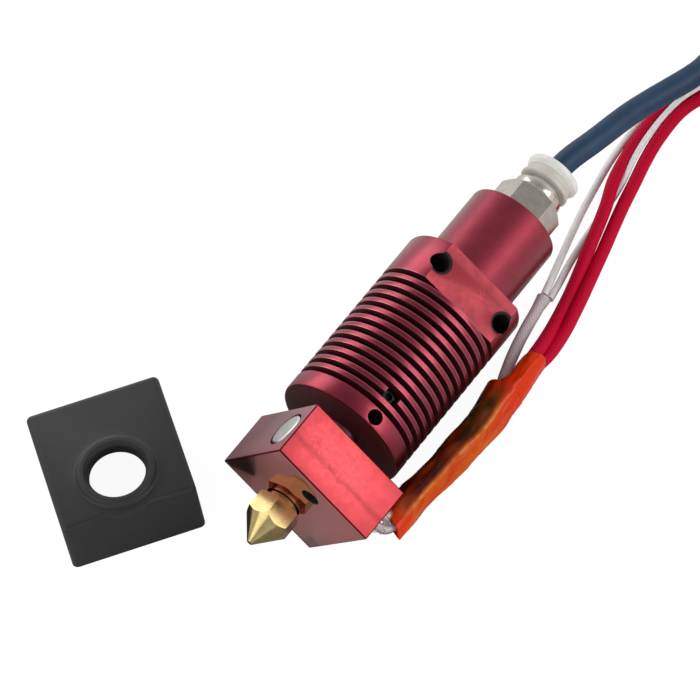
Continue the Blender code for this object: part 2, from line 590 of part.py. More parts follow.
# Silicone sock: a rounded cap for the block, open towards the bench, with a collar for the nozzle.
sock_shape = bmesh.new()
bmesh.ops.create_cube(sock_shape, size=MM)
bmesh.ops.scale(sock_shape, vec=(SOCK_X, SOCK_Y, SOCK_H), verts=sock_shape.verts)
bmesh.ops.translate(sock_shape, vec=(0.0, 0.0, SOCK_H / 2 * MM), verts=sock_shape.verts)
rounded = [e for e in sock_shape.edges if max(v.co.z for v in e.verts) > 0.5 * MM]
bmesh.ops.bevel(sock_shape, geom=rounded, offset=1.5 * MM, offset_type="OFFSET", segments=3, profile=0.5,
                affect="EDGES")
sock_mesh = bpy.data.meshes.new("silicone_sock")
sock_shape.to_mesh(sock_mesh)
sock_shape.free()
smooth(sock_mesh)
sock = add("silicone_sock", sock_mesh, CHARCOAL, SOCK_SEAT)
sock_collar = prism("sock_collar", 28, SOCK_COLLAR_R, 10.5, SOCK_COLLAR_TOP, None, SOCK_SEAT,
                    location=(0.0, SOCK_HOLE_OFF, 0.0))
combine(sock, sock_collar, "UNION")
sock_cavity = box("sock_cavity", (SOCK_CAVITY, SOCK_CAVITY, SOCK_CAVITY_H + 2.0), None, SOCK_SEAT,
                  (0.0, 0.0, SOCK_CAVITY_H / 2 - 1.0))
combine(sock, sock_cavity)
sock_hole = prism("sock_hole", 24, SOCK_HOLE_R, 8.0, 15.0, None, SOCK_SEAT,
                  location=(0.0, SOCK_HOLE_OFF, 0.0))
combine(sock, sock_hole)

# Spare lengths, tied in coils, and what is on the ends of the leads.
coil("bowden_tube_coil", TUBE_COIL, BLUE_PTFE, 32)
coil("heater_leads_coil", HEATER_COIL, RED_WIRE, 28)
coil("thermistor_leads_coil", THERMISTOR_COIL, WHITE_WIRE, 24)
tie("tube_coil_tie", TUBE_COIL, 200.0, BLACK_PLASTIC)
tie("heater_coil_tie", HEATER_COIL, 60.0, BLACK_PLASTIC)
tie("thermistor_coil_tie", THERMISTOR_COIL, 70.0, BLACK_PLASTIC)

FERRULE = [(1.35, 4.6), (1.35, 2.0), (0.95, 1.6), (0.95, -4.4), (0.7, -4.6)]
for label, shift in (("a", 2.6), ("b", -2.6)):
    profile = [(0.0, 4.6), *FERRULE, (0.0, -4.6)]
    turned("heater_ferrule_" + label, profile, 14, CRIMP_METAL, BENCH, closed=False,
           location=(HEATER_COIL[0], HEATER_COIL[1] + shift, 1.45), rotation_deg=(0.0, -90.0, 0.0))

connector = box("thermistor_connector", (5.1, 12.0, 2.7), BLACK_PLASTIC, BENCH,
                (THERMISTOR_COIL[0] + 15.6, THERMISTOR_COIL[1] - 1.0, 1.45))
for side in (-1, 1):
    contact = box("contact_%d" % (side + 2), (1.1, 6.0, 1.1), None, BENCH,
                  (THERMISTOR_COIL[0] + 15.6 + side * 1.27, THERMISTOR_COIL[1] + 3.0, 1.45))
    combine(connector, contact)
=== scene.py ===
"""The look of the hotend assembly: fine surfaces, wires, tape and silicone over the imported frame."""

import math

import bmesh
import bpy
from mathutils import Matrix, Vector, noise


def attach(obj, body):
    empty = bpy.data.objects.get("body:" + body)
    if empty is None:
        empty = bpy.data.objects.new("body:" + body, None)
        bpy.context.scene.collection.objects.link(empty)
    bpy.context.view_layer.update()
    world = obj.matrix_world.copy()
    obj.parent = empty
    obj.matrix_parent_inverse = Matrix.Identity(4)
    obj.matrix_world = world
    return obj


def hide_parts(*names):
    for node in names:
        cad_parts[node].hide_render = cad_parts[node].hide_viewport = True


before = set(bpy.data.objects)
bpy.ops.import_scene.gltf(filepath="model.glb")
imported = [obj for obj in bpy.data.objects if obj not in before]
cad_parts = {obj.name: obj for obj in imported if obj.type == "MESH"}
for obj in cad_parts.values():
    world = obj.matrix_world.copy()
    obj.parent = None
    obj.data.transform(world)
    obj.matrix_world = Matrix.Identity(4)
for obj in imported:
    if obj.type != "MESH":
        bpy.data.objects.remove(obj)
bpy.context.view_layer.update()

MM = 0.001


def at(x, y, z):
    return Matrix.Translation((x, y, z))


def spin(degrees, axis):
    return Matrix.Rotation(math.radians(degrees), 4, axis)


# Millimetres in the row frame. BENCH starts under the hotend's axis, level with the block's nozzle face. HOT
# starts on the axis there, with Z towards the feed tube. SINK is HOT turned a little, as the heat sink sits,
# and SOCK starts under the middle of the sock.
BENCH = at(12.8, -25.598, 0.0)
HOT = BENCH @ at(0.0, 0.0, 11.14) @ spin(-90.0, "X") @ spin(-138.13, "Z")
SINK = HOT @ spin(-2.8, "Z")
SOCK = BENCH @ at(-28.75, -7.65, 0.0) @ spin(53.8, "Z")
TO_METRES = Matrix.Diagonal((MM, MM, MM, 1.0))


# ---------------- materials
# Places of a Mix node's colour sockets.
MIX_A, MIX_B, MIX_RESULT = 6, 7, 2


def shade(colour, share):
    """The colour made darker or lighter, and never above full strength."""
    return tuple(min(1.0, c * share) for c in colour)


def fill(tree, node, inputs):
    """Sets each input of a node to the value given for it, or links it to the output given for it."""
    for key, given in inputs.items():
        socket = node.inputs[key]
        if isinstance(given, bpy.types.NodeSocket):
            tree.links.new(given, socket)
        elif socket.type == "RGBA":
            socket.default_value = (*given, 1.0)
        else:
            socket.default_value = given
    return node


def add_node(tree, kind, inputs=None, operation=None):
    node = tree.nodes.new("ShaderNode" + kind)
    if operation:
        node.operation = operation
    return fill(tree, node, inputs or {})


def add_span(tree, factor, low, high, out_low, out_high):
    """The factor's run from low to high, carried over to the run from out_low to out_high."""
    limits = {"From Min": low, "From Max": high, "To Min": out_low, "To Max": out_high}
    return add_node(tree, "MapRange", {"Value": factor, **limits}).outputs[0]


class Look:
    """A node material with the Principled shader and a few short ways to add texture nodes."""

    def __init__(self, name, colour, roughness, metallic=0.0, **sockets):
        self.mat = bpy.data.materials.new(name)
        self.mat.use_nodes = True
        self.tree = self.mat.node_tree
        self.shader = self.tree.nodes["Principled BSDF"]
        self.set("Base Color", (*colour, 1.0))
        self.set("Roughness", roughness)
        self.set("Metallic", metallic)
        for key, value in sockets.items():
            self.set(key.replace("_", " "), value)
        coords = self.add("TexCoord").outputs
        self.mm = self.add("VectorMath", {0: coords["Object"], "Scale": 1.0 / MM}, "SCALE").outputs[0]
        self.uv = coords["UV"]

    def set(self, socket, value):
        self.shader.inputs[socket].default_value = value

    def to(self, socket, output):
        self.tree.links.new(output, self.shader.inputs[socket])

    def add(self, kind, inputs=None, operation=None):
        return add_node(self.tree, kind, inputs, operation)

    def math(self, operation, a, b=0.0):
        return self.add("Math", {0: a, 1: b}, operation).outputs[0]

    def span(self, factor, low, high, out_low, out_high):
        return add_span(self.tree, factor, low, high, out_low, out_high)

    def mapped(self, vector, scale=(1.0, 1.0, 1.0), turn=(0.0, 0.0, 0.0)):
        angles = [math.radians(t) for t in turn]
        return self.add("Mapping", {"Vector": vector, "Scale": scale, "Rotation": angles}).outputs[0]

    def noise(self, scale, detail=3.0, rough=0.55, vector=None, distortion=0.0):
        inputs = {"Scale": scale, "Detail": detail, "Roughness": rough, "Distortion": distortion}
        inputs["Vector"] = self.mm if vector is None else vector
        return self.add("TexNoise", inputs).outputs["Fac"]

    def rings(self, scale, detail, rough):
        """Noise that changes only along the hotend's axis, as a lathe tool leaves it."""
        line = self.add("CombineXYZ", {1: self.parts(self.mm)[1]})
        return self.noise(scale, detail, rough, vector=line.outputs[0])

    def parts(self, vector):
        return self.add("SeparateXYZ", {0: vector}).outputs

    def attribute(self, name):
        node = self.add("Attribute")
        node.attribute_name = name
        return node.outputs["Fac"]

    def ramp(self, factor, stops):
        node = self.add("ValToRGB", {0: factor})
        band = node.color_ramp
        while len(band.elements) < len(stops):
            band.elements.new(0.5)
        for element, (place, colour) in zip(band.elements, stops):
            element.position = place
            element.color = (*colour, 1.0)
        return node.outputs["Color"]

    def mix(self, factor, a, b):
        node = self.add("Mix")
        node.data_type = "RGBA"
        return fill(self.tree, node, {0: factor, MIX_A: a, MIX_B: b}).outputs[MIX_RESULT]

    def clouded(self, colour, factor, low, high, darker, lighter):
        """The colour, from a darker shade to a lighter one as the factor goes from low to high."""
        return self.mix(self.span(factor, low, high, 0.0, 1.0), shade(colour, darker), shade(colour, lighter))

    def bump(self, height, strength, distance=0.01, under=None):
        """Bumps in the shading, with their height in millimetres, on top of the ones under them."""
        inputs = {"Height": height, "Strength": strength, "Distance": distance * MM}
        if under is not None:
            inputs["Normal"] = under
        normal = self.add("Bump", inputs).outputs[0]
        self.to("Normal", normal)
        return normal


def anodised(name, colour, roughness):
    """Dyed turned aluminium: fine rings about the part's axis, a little grain and uneven dye."""
    look = Look(name, colour, roughness, 1.0, Coat_Weight=0.45, Coat_Roughness=0.25)
    grain = look.noise(9.0, 3.0, 0.7)
    tone = look.clouded(colour, look.noise(0.35, 4.0, 0.6), 0.3, 0.7, 0.88, 1.1)
    look.to("Base Color", look.mix(look.span(grain, 0.35, 0.75, 0.0, 0.22), tone, shade(colour, 1.6)))
    look.to("Roughness", look.span(look.noise(3.0, 4.0, 0.6), 0.3, 0.7, roughness - 0.05, roughness + 0.08))
    rings = look.bump(look.rings(14.0, 4.0, 0.75), 0.3, 0.012)
    look.bump(grain, 0.25, 0.006, rings)
    return look.mat


def milled(name, colour, roughness, direction, coat=0.4, streak=0.3, lift=1.0, turn=(0.0, 0.0, 0.0),
           band=False, arcs=False, grain=0.12):
    """A flat milled face: long faint streaks along one direction and fine grain."""
    look = Look(name, colour, roughness, 1.0, Coat_Weight=coat, Coat_Roughness=0.15)
    across = look.mapped(look.mapped(look.mm, turn=turn), scale=direction)
    streaks = look.noise(1.0, 5.0, 0.7, vector=across)
    wide = look.noise(0.25, 3.0, 0.5, vector=across)
    tone = look.clouded(colour, wide, 0.35, 0.65, 0.86, lift)
    if band:
        # The cutter left one duller line along the face, four millimetres from the nozzle side.
        place = look.span(look.parts(look.mm)[1], -26.0, -15.0, 0.0, 1.0)
        line = look.ramp(place, [(0.31, (0.0, 0.0, 0.0)), (0.375, (1.0, 1.0, 1.0)), (0.395, (1.0, 1.0, 1.0)),
                                 (0.46, (0.0, 0.0, 0.0))])
        tone = look.mix(look.math("MULTIPLY", line, 0.75), tone, shade(colour, 0.6))
    look.to("Base Color", tone)
    look.to("Roughness", look.span(streaks, 0.3, 0.7, roughness * 0.8, roughness * 1.3))
    first = look.bump(streaks, streak, 0.008)
    if arcs:
        # Curved marks of the milling cutter.
        away = look.add("VectorMath", {0: look.mm, 1: (30.0, 34.0, 5.0)}, "DISTANCE")
        swing = look.math("SINE", look.math("MULTIPLY", away.outputs["Value"], 15.0))
        uneven = look.math("MULTIPLY", swing, look.noise(0.9, 3.0, 0.6))
        first = look.bump(uneven, 0.32, 0.03, first)
    look.bump(look.noise(9.0, 2.0, 0.6), grain, 0.005, first)
    return look.mat


def metal(name, colour, roughness, scratches=0.25, turned=False):
    """Bare or plated metal with fine scratches, and lathe rings where it is turned."""
    look = Look(name, colour, roughness, 1.0)
    fine = look.noise(6.0, 5.0, 0.7)
    look.to("Base Color", look.clouded(colour, look.noise(0.8, 4.0, 0.6), 0.3, 0.7, 0.85, 1.06))
    look.to("Roughness", look.span(fine, 0.3, 0.7, roughness * 0.75, roughness * 1.35))
    if turned:
        rings = look.bump(look.rings(9.0, 4.0, 0.7), scratches, 0.015)
        look.bump(fine, scratches, 0.008, rings)
    else:
        look.bump(fine, scratches, 0.012)
    return look.mat


RED_TURNED = anodised("red_turned", (0.29, 0.025, 0.046), 0.32)
# Lighter red for the fins' rounded rims: a painted highlight on their edges.
RED_RIM_HIGHLIGHT = anodised("red_fin_rim_painted_highlight", (0.46, 0.14, 0.18), 0.3)
RED_FLANGE = milled("red_flange_flat", (0.4, 0.045, 0.06), 0.48, (0.3, 0.3, 0.3), coat=0.2, streak=0.1,
                    arcs=True)
RED_BLOCK = milled("red_block", (0.72, 0.083, 0.1), 0.44, (0.06, 1.6, 1.6), coat=0.12, streak=0.04, lift=1.04,
                   turn=(0.0, 41.87, 0.0), band=True, grain=0.03)
# Paler, greyer red for the face where the cartridge ends: painted light on that face of the block.
RED_SIDE_LIT = milled("red_block_side_painted_light", (0.48, 0.14, 0.165), 0.34, (0.1, 0.1, 0.1), coat=0.6, streak=0.06,
                  grain=0.08)
RED_MIRROR = milled("red_block_nozzle_face", (0.9, 0.34, 0.31), 0.09, (0.1, 0.1, 0.1), coat=0.1,
                    streak=0.03, grain=0.02)
# Dark red for the block's rounded edges: painted shade along them.
RED_EDGE_SHADE = milled("red_block_edge_painted_shade", (0.16, 0.006, 0.012), 0.35, (0.5, 0.5, 0.5), coat=0.1, streak=0.1)
BRASS_TURNED = metal("brass_turned", (0.5, 0.385, 0.17), 0.2, 0.2, turned=True)
NICKEL = metal("nickel_plating", (0.66, 0.6, 0.53), 0.13, 0.1)
STEEL = metal("bright_steel", (0.62, 0.6, 0.57), 0.28, 0.3, turned=True)
# Darkened steel for the heat break: painted shade in the gap between the block and the heat sink.
BREAK_STEEL = metal("heat_break_painted_shade", (0.2, 0.15, 0.13), 0.4, 0.3, turned=True)
CARTRIDGE = metal("cartridge_steel", (0.8, 0.79, 0.76), 0.3, 0.25)
BLACK_STEEL = metal("black_oxide", (0.018, 0.018, 0.018), 0.35, 0.3)
OILED_STEEL = metal("oiled_steel", (0.012, 0.008, 0.008), 0.5, 0.3)
TIN = metal("tinned_copper", (0.72, 0.71, 0.7), 0.3, 0.3)


def blue_tube():
    """Slightly waxy blue plastic with faint clouds."""
    look = Look("blue_tube", (0.012, 0.045, 0.095), 0.5, Specular_IOR_Level=0.35,
                Subsurface_Weight=0.1, Subsurface_Scale=0.0012)
    look.set("Subsurface Radius", (0.3, 0.5, 1.0))
    cloud = look.span(look.noise(0.4, 4.0, 0.6), 0.3, 0.7, 0.0, 1.0)
    look.to("Base Color", look.mix(cloud, (0.011, 0.04, 0.085), (0.015, 0.056, 0.115)))
    look.to("Roughness", look.span(look.noise(4.0, 4.0, 0.6), 0.3, 0.7, 0.42, 0.56))
    look.bump(look.noise(1.6, 4.0, 0.6), 0.06, 0.03)
    return look.mat


def braid(name, dark, light, strands, pitch):
    """A woven sleeve on a tube whose UV runs once round and in millimetres along."""
    look = Look(name, light, 0.6, Specular_IOR_Level=0.1)
    u, v = look.parts(look.uv)[0], look.parts(look.uv)[1]
    round_ = look.math("MULTIPLY", u, strands)
    run = look.math("MULTIPLY", v, pitch)
    one = look.math("SINE", look.math("MULTIPLY", look.math("ADD", round_, run), math.tau))
    two = look.math("SINE", look.math("MULTIPLY", look.math("SUBTRACT", round_, run), math.tau))
    weave = look.math("MAXIMUM", one, two)
    valley = look.span(weave, -0.4, 0.9, 0.0, 1.0)
    tone = look.mix(valley, dark, light)
    worn = look.span(look.noise(1.4, 4.0, 0.6), 0.35, 0.7, 0.0, 0.35)
    tone = look.mix(worn, tone, shade(light, 0.6))
    look.to("Base Color", tone)
    look.bump(weave, 0.25, 0.05)
    return look.mat


def plain(name, colour, roughness, grain=0.2, scale=3.0, **sockets):
    """Plastic, rubber or another plain material with a faint grain."""
    look = Look(name, colour, roughness, 0.0, **sockets)
    look.to("Base Color", look.clouded(colour, look.noise(0.5, 4.0, 0.6), 0.3, 0.7, 0.9, 1.06))
    spots = look.noise(scale * 2.0, 4.0, 0.6)
    look.to("Roughness", look.span(spots, 0.3, 0.7, roughness * 0.85, roughness * 1.15))
    look.bump(look.noise(scale, 5.0, 0.65), grain, 0.03)
    return look.mat


def tape_look():
    """Amber polyimide tape over the wires: deep orange, uneven along its folds, with painted shade along one
    side and a painted highlight along its crest.
    """
    look = Look("amber_tape", (0.6, 0.08, 0.002), 0.3, Specular_IOR_Level=0.04, Coat_Weight=0.28,
                Coat_Roughness=0.05)
    fold = look.noise(0.16, 3.0, 0.5, vector=look.mapped(look.mm, scale=(2.4, 0.8, 2.4)), distortion=0.6)
    base = look.ramp(fold, [(0.3, (0.5, 0.025, 0.0)), (0.45, (0.62, 0.07, 0.0)), (0.6, (0.66, 0.1, 0.0)),
                            (0.75, (0.76, 0.16, 0.004))])
    base = look.mix(look.attribute("wires"), base, (0.74, 0.03, 0.0))
    # The under mark paints shade along one side of the tape, olive towards its top shoulder.
    dark = look.mix(look.attribute("shoulder"), (0.07, 0.006, 0.001), (0.085, 0.045, 0.01))
    dark = look.mix(look.span(look.noise(0.4, 3.0, 0.5), 0.35, 0.65, 0.0, 0.6), dark, (0.02, 0.003, 0.001))
    tone = look.mix(look.attribute("under"), base, dark)
    # The crest mark paints a highlight along the tape's ridge.
    crest = look.math("POWER", look.attribute("crest"), 1.25)
    tone = look.mix(crest, tone, (0.76, 0.36, 0.1))
    look.to("Base Color", tone)
    look.to("Roughness", look.span(look.noise(0.8, 3.0, 0.5), 0.35, 0.7, 0.1, 0.26))
    look.bump(look.noise(0.5, 4.0, 0.5, distortion=1.0), 0.4, 0.15)
    return look.mat


BLUE = blue_tube()
RED_BRAID = braid("red_braid", (0.5, 0.0, 0.018), (0.66, 0.002, 0.04), 12.0, 1.15)
WHITE_BRAID = braid("white_glass_braid", (0.62, 0.52, 0.55), (0.84, 0.77, 0.79), 12.0, 1.2)
WHITE_LEAD = plain("white_lead", (0.97, 0.95, 0.93), 0.4, 0.05)
CLEAR_SLEEVE = plain("clear_sleeve", (0.95, 0.86, 0.86), 0.1, 0.1, Transmission_Weight=0.85, IOR=1.33)
WHITE_RING = plain("white_release_ring", (0.86, 0.85, 0.8), 0.35, 0.08, Subsurface_Weight=0.3,
                   Subsurface_Scale=0.0015, Coat_Weight=0.15)
# Greyer white for the release ring's skirt: painted shade under its top flange.
RING_SHADE = plain("release_ring_skirt_painted_shade", (0.64, 0.61, 0.54), 0.4, 0.08)
SILICONE = plain("charcoal_silicone", (0.018, 0.0165, 0.0165), 0.48, 0.25, 5.0, Sheen_Weight=0.15,
                 Sheen_Roughness=0.4)
RUBBER = plain("black_rubber", (0.02, 0.02, 0.02), 0.6)
GLASS_BEAD = plain("bead_glass", (0.5, 0.3, 0.2), 0.1, 0.05, Transmission_Weight=0.7)
# Dull dark red for the fins' sides and the grooves' floors: painted shade inside the grooves.
RED_GROOVE_SHADE = plain("red_groove_painted_shade", (0.075, 0.008, 0.014), 0.5, 0.2, Specular_IOR_Level=0.3)
# Dark brown red for the heat sink's face over the block: painted shade underneath it.
RED_SHADE = plain("red_underside_painted_shade", (0.072, 0.028, 0.026), 0.6, 0.2, Specular_IOR_Level=0.2)
BLACK_PLASTIC = plain("black_nylon", (0.022, 0.022, 0.024), 0.42, 0.15)
# Near black for the faces that the cutting tools leave inside holes, bores and sockets: painted shade.
SHADE_INSIDE = plain("painted_shade_inside", (0.01, 0.004, 0.004), 0.7, 0.1)
TAPE = tape_look()


# ---------------- mesh helpers
def make(name, shape, place, look, sharp=35.0):
    """An object in the row frame from a bmesh in millimetres in its own frame."""
    mesh = bpy.data.meshes.new(name)
    shape.to_mesh(mesh)
    shape.free()
    mesh.transform(TO_METRES @ place)
    mesh.materials.append(look)
    made = bpy.data.objects.new(name, mesh)
    resharpen(made, sharp)
    bpy.context.scene.collection.objects.link(made)
    return made


def resharpen(obj, angle=35.0):
    obj.data.shade_smooth()
    obj.data.set_sharp_from_angle(angle=math.radians(angle))


def around(count, radius, height, turn_deg=0.0):
    """Points evenly round the Z axis."""
    angles = [math.radians(turn_deg) + math.tau * k / count for k in range(count)]
    return [(radius * math.cos(angle), radius * math.sin(angle), height) for angle in angles]


def lathe(profile, steps=96, closed=True):
    """A bmesh turned about Z from (radius, height) pairs that run down the outside."""
    shape = bmesh.new()
    rings = [[shape.verts.new(p) for p in (around(steps, r, h) if r > 1e-6 else [(0.0, 0.0, h)])]
             for r, h in profile]
    pairs = list(zip(rings, rings[1:]))
    if closed:
        pairs.append((rings[-1], rings[0]))
    for high, low in pairs:
        for k in range(steps):
            after = (k + 1) % steps
            ring = [high[k % len(high)], low[k % len(low)], low[after % len(low)], high[after % len(high)]]
            corners = list(dict.fromkeys(ring))
            if len(corners) > 2:
                shape.faces.new(corners)
    return shape


def spindle(profile, steps, radius=None, arc=2):
    """A solid turned shape from a profile that starts and ends on the axis, with rounded corners if asked."""
    if radius is not None:
        profile = rounded(profile, radius, arc, closed=False)
    return lathe(profile, steps, closed=False)


def rounded(profile, radius, steps=2, closed=True):
    """The profile with each of its corners rounded off, by radius or by the corner's own third value."""
    points = [Vector(p[:2]) for p in profile]
    radii = [p[2] if len(p) > 2 else radius for p in profile]
    found = []
    count = len(points)
    for i, point in enumerate(points):
        if not closed and i in (0, count - 1):
            found.append(tuple(point))
            continue
        before, after = points[i - 1], points[(i + 1) % count]
        a, b = before - point, after - point
        if a.length < 1e-6 or b.length < 1e-6:
            found.append(tuple(point))
            continue
        reach = min(radii[i], a.length * 0.45, b.length * 0.45)
        if reach < 1e-4:
            found.append(tuple(point))
            continue
        start, end = point + a.normalized() * reach, point + b.normalized() * reach
        for k in range(steps + 1):
            t = k / steps
            found.append(tuple(start * (1 - t) ** 2 + point * 2 * t * (1 - t) + end * t**2))
    return found


def prism(sides, radius, low, high, turn_deg=0.0):
    """A prism along Z with its first corner at turn_deg."""
    shape = bmesh.new()
    rings = [[shape.verts.new(p) for p in around(sides, radius, h, turn_deg)] for h in (low, high)]
    for k in range(sides):
        after = (k + 1) % sides
        shape.faces.new((rings[0][k], rings[0][after], rings[1][after], rings[1][k]))
    shape.faces.new(rings[1])
    shape.faces.new(rings[0][::-1])
    return shape


def block(size, centre, bevel=0.0, segments=3, keep_low=False):
    """A box with its edges rounded off, apart from the lowest ones if keep_low is set."""
    shape = bmesh.new()
    bmesh.ops.create_cube(shape, size=1.0)
    bmesh.ops.scale(shape, verts=shape.verts, vec=size)
    bmesh.ops.translate(shape, verts=shape.verts, vec=centre)
    if bevel:
        low = centre[2] - size[2] / 2
        edges = [e for e in shape.edges if not keep_low or max(v.co.z for v in e.verts) > low + 0.01]
        bmesh.ops.bevel(shape, geom=edges, offset=bevel, offset_type="OFFSET", segments=segments, profile=0.5,
                        affect="EDGES")
    return shape


def boolean(target, shape, place, operation="DIFFERENCE"):
    """Cuts or joins a bmesh in millimetres, at its place, with the target, and keeps the result."""
    tool = make("tool", shape, place, SHADE_INSIDE)
    step = target.modifiers.new("cut", "BOOLEAN")
    step.operation = operation
    step.solver = "EXACT"
    step.object = tool
    # The new faces take the tool's material, painted shade inside the cut.
    step.material_mode = "TRANSFER"
    bpy.context.view_layer.update()
    result = bpy.data.meshes.new_from_object(target.evaluated_get(bpy.context.evaluated_depsgraph_get()))
    target.modifiers.clear()
    old = target.data
    target.data = result
    bpy.data.meshes.remove(old)
    bpy.data.objects.remove(tool, do_unlink=True)


def one_look(obj, look):
    """Gives every face of a piece the same material."""
    obj.data.materials.clear()
    obj.data.materials.append(look)
    for face in obj.data.polygons:
        face.material_index = 0


def curve_through(points, step):
    """Points at an even distance along a smooth curve through the given points."""
    points = [Vector(p) for p in points]
    ends = [points[0] * 2 - points[1]] + points + [points[-1] * 2 - points[-2]]
    fine = []
    for a, b, c, d in zip(ends, ends[1:], ends[2:], ends[3:]):
        for k in range(24):
            t = k / 24
            fine.append(0.5 * (2 * b + (c - a) * t + (2 * a - 5 * b + 4 * c - d) * t**2
                               + (3 * b - a - 3 * c + d) * t**3))
    fine.append(points[-1])
    return even(fine, step)


def even(fine, step):
    """Points at an even distance along a fine line of points."""
    run = [0.0]
    for here, there in zip(fine, fine[1:]):
        run.append(run[-1] + (there - here).length)
    count = max(2, round(run[-1] / step))
    found = []
    k = 0
    for i in range(count + 1):
        want = run[-1] * i / count
        while k < len(run) - 2 and run[k + 1] < want:
            k += 1
        share = (want - run[k]) / max(run[k + 1] - run[k], 1e-9)
        found.append(fine[k].lerp(fine[k + 1], share))
    return found


def length_of(points):
    return sum((b - a).length for a, b in zip(points, points[1:]))


def tube(name, points, radius, look, sides, hollow=0.0, wobble=0.0, seed=0):
    """A round tube along points in millimetres, with UV once round and in millimetres along."""
    shape = bmesh.new()
    layer = shape.loops.layers.uv.new("uv")
    radii = radius if isinstance(radius, list) else [radius] * len(points)
    tangent = (points[1] - points[0]).normalized()
    side = tangent.orthogonal().normalized()
    rings, run = [], [0.0]
    for i, point in enumerate(points):
        ahead = (points[min(i + 1, len(points) - 1)] - points[max(i - 1, 0)]).normalized()
        side = (side - ahead * side.dot(ahead)).normalized()
        up = ahead.cross(side)
        if i:
            run.append(run[-1] + (point - points[i - 1]).length)
        ring = []
        for k in range(sides):
            angle = math.tau * k / sides
            reach = radii[i]
            if wobble:
                spot = Vector((run[-1] * 0.35 + seed, math.cos(angle), math.sin(angle)))
                reach *= 1.0 + wobble * noise.noise(spot)
            out = point + side * (reach * math.cos(angle))
            ring.append(shape.verts.new(out + up * (reach * math.sin(angle))))
        rings.append(ring)
    for i, (low, high) in enumerate(zip(rings, rings[1:])):
        for k in range(sides):
            after = (k + 1) % sides
            face = shape.faces.new((low[k], low[after], high[after], high[k]))
            for loop, (u, v) in zip(face.loops, ((k, i), (k + 1, i), (k + 1, i + 1), (k, i + 1))):
                loop[layer].uv = (u / sides, run[v])
    for ring, flip in ((rings[0], True), (rings[-1], False)):
        order = list(reversed(ring)) if flip else ring
        if not hollow:
            shape.faces.new(order)
            continue
        centre = sum((v.co for v in ring), Vector()) / sides
        inner = [shape.verts.new(centre + (v.co - centre) * hollow) for v in order]
        inside = (points[1] - points[0] if flip else points[-2] - points[-1]).normalized() * 2.5
        deep = [shape.verts.new(v.co + inside) for v in inner]
        for k in range(sides):
            after = (k + 1) % sides
            shape.faces.new((order[k], order[after], inner[after], inner[k]))
            shape.faces.new((inner[k], inner[after], deep[after], deep[k]))
        shape.faces.new(deep)
    return make(name, shape, BENCH, look, 50.0)


def ride(obj, body, slot, *nodes):
    """Puts a piece on its body and hides the CAD nodes that it stands for; slot is not used."""
    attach(obj, body)
    if nodes:
        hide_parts(*nodes)


def repaint(look, *names):
    """Gives CAD nodes that stay as they are a better material."""
    for name in names:
        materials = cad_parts[name].data.materials
        materials.clear()
        materials.append(look)


# ---------------- camera, floor and light
def aim(obj, place, ahead, above):
    """Puts a camera or light at its place, facing ahead, with above as near to its top as can be."""
    ahead = Vector(ahead).normalized()
    right = ahead.cross(Vector(above)).normalized()
    above = right.cross(ahead)
    turn = Matrix((right, above, -ahead)).transposed()
    obj.matrix_world = Matrix.Translation(place) @ turn.to_4x4()


camera_data = bpy.data.cameras.new("camera")
camera_data.lens = 244.94
camera_data.sensor_width = 36.0
camera_data.clip_start = 0.05
camera_data.clip_end = 20.0
camera = bpy.data.objects.new("camera", camera_data)
bpy.context.scene.collection.objects.link(camera)
aim(camera, (0.30866, -0.286718, 0.64267), (-0.4007, 0.38182, -0.83286), (-0.44981, 0.70996, 0.54188))
bpy.context.scene.camera = camera
bpy.context.scene.view_settings.view_transform = "Standard"


def floor_look():
    """A pale matt floor, nearly white to the camera, with painted shade in front of the nozzle that shows
    only in reflections.
    """
    mat = bpy.data.materials.new("pale_floor")
    mat.use_nodes = True
    tree = mat.node_tree
    tree.nodes.clear()
    rays = add_node(tree, "LightPath").outputs
    place = add_node(tree, "TexCoord").outputs["Object"]
    ahead = add_node(tree, "SeparateXYZ", {0: place}).outputs["Y"]
    # Painted shade on the floor in front of the nozzle, seen only in reflections.
    reflected_shade = add_span(tree, ahead, -0.015, 0.03, 0.42, 0.92)
    tone = add_span(tree, rays["Is Glossy Ray"], 0.0, 1.0, 0.97, reflected_shade)
    matt = add_node(tree, "BsdfDiffuse", {"Color": tone})
    glow = add_node(tree, "Emission", {"Color": (1.0, 1.0, 1.0), "Strength": 1.12})
    share = add_node(tree, "Math", {0: rays["Is Camera Ray"], 1: 0.84}, "MULTIPLY")
    mix = add_node(tree, "MixShader", {0: share.outputs[0], 1: matt.outputs[0], 2: glow.outputs[0]})
    add_node(tree, "OutputMaterial", {"Surface": mix.outputs[0]})
    return mat


floor_mesh = bpy.data.meshes.new("floor")
floor_shape = bmesh.new()
bmesh.ops.create_grid(floor_shape, x_segments=2, y_segments=2, size=4.0)
floor_shape.to_mesh(floor_mesh)
floor_shape.free()
floor_mesh.materials.append(floor_look())
floor = bpy.data.objects.new("floor", floor_mesh)
floor.location.z = -0.00005
bpy.context.scene.collection.objects.link(floor)

# The sky fades upwards in what it lights, and the camera sees all of it alike.
world = bpy.data.worlds.new("world")
world.use_nodes = True
bpy.context.scene.world = world
sky = world.node_tree
upwards = add_node(sky, "SeparateXYZ", {0: add_node(sky, "TexCoord").outputs["Generated"]}).outputs["Z"]
fade = add_span(sky, upwards, 0.0, 1.0, 1.05, 0.26)
seen = add_node(sky, "LightPath").outputs["Is Camera Ray"]
level = add_node(sky, "Mix", {"Factor": seen, "A": fade, "B": 1.0})
fill(sky, sky.nodes["Background"], {"Color": (0.97, 0.98, 1.0), "Strength": level.outputs[0]})


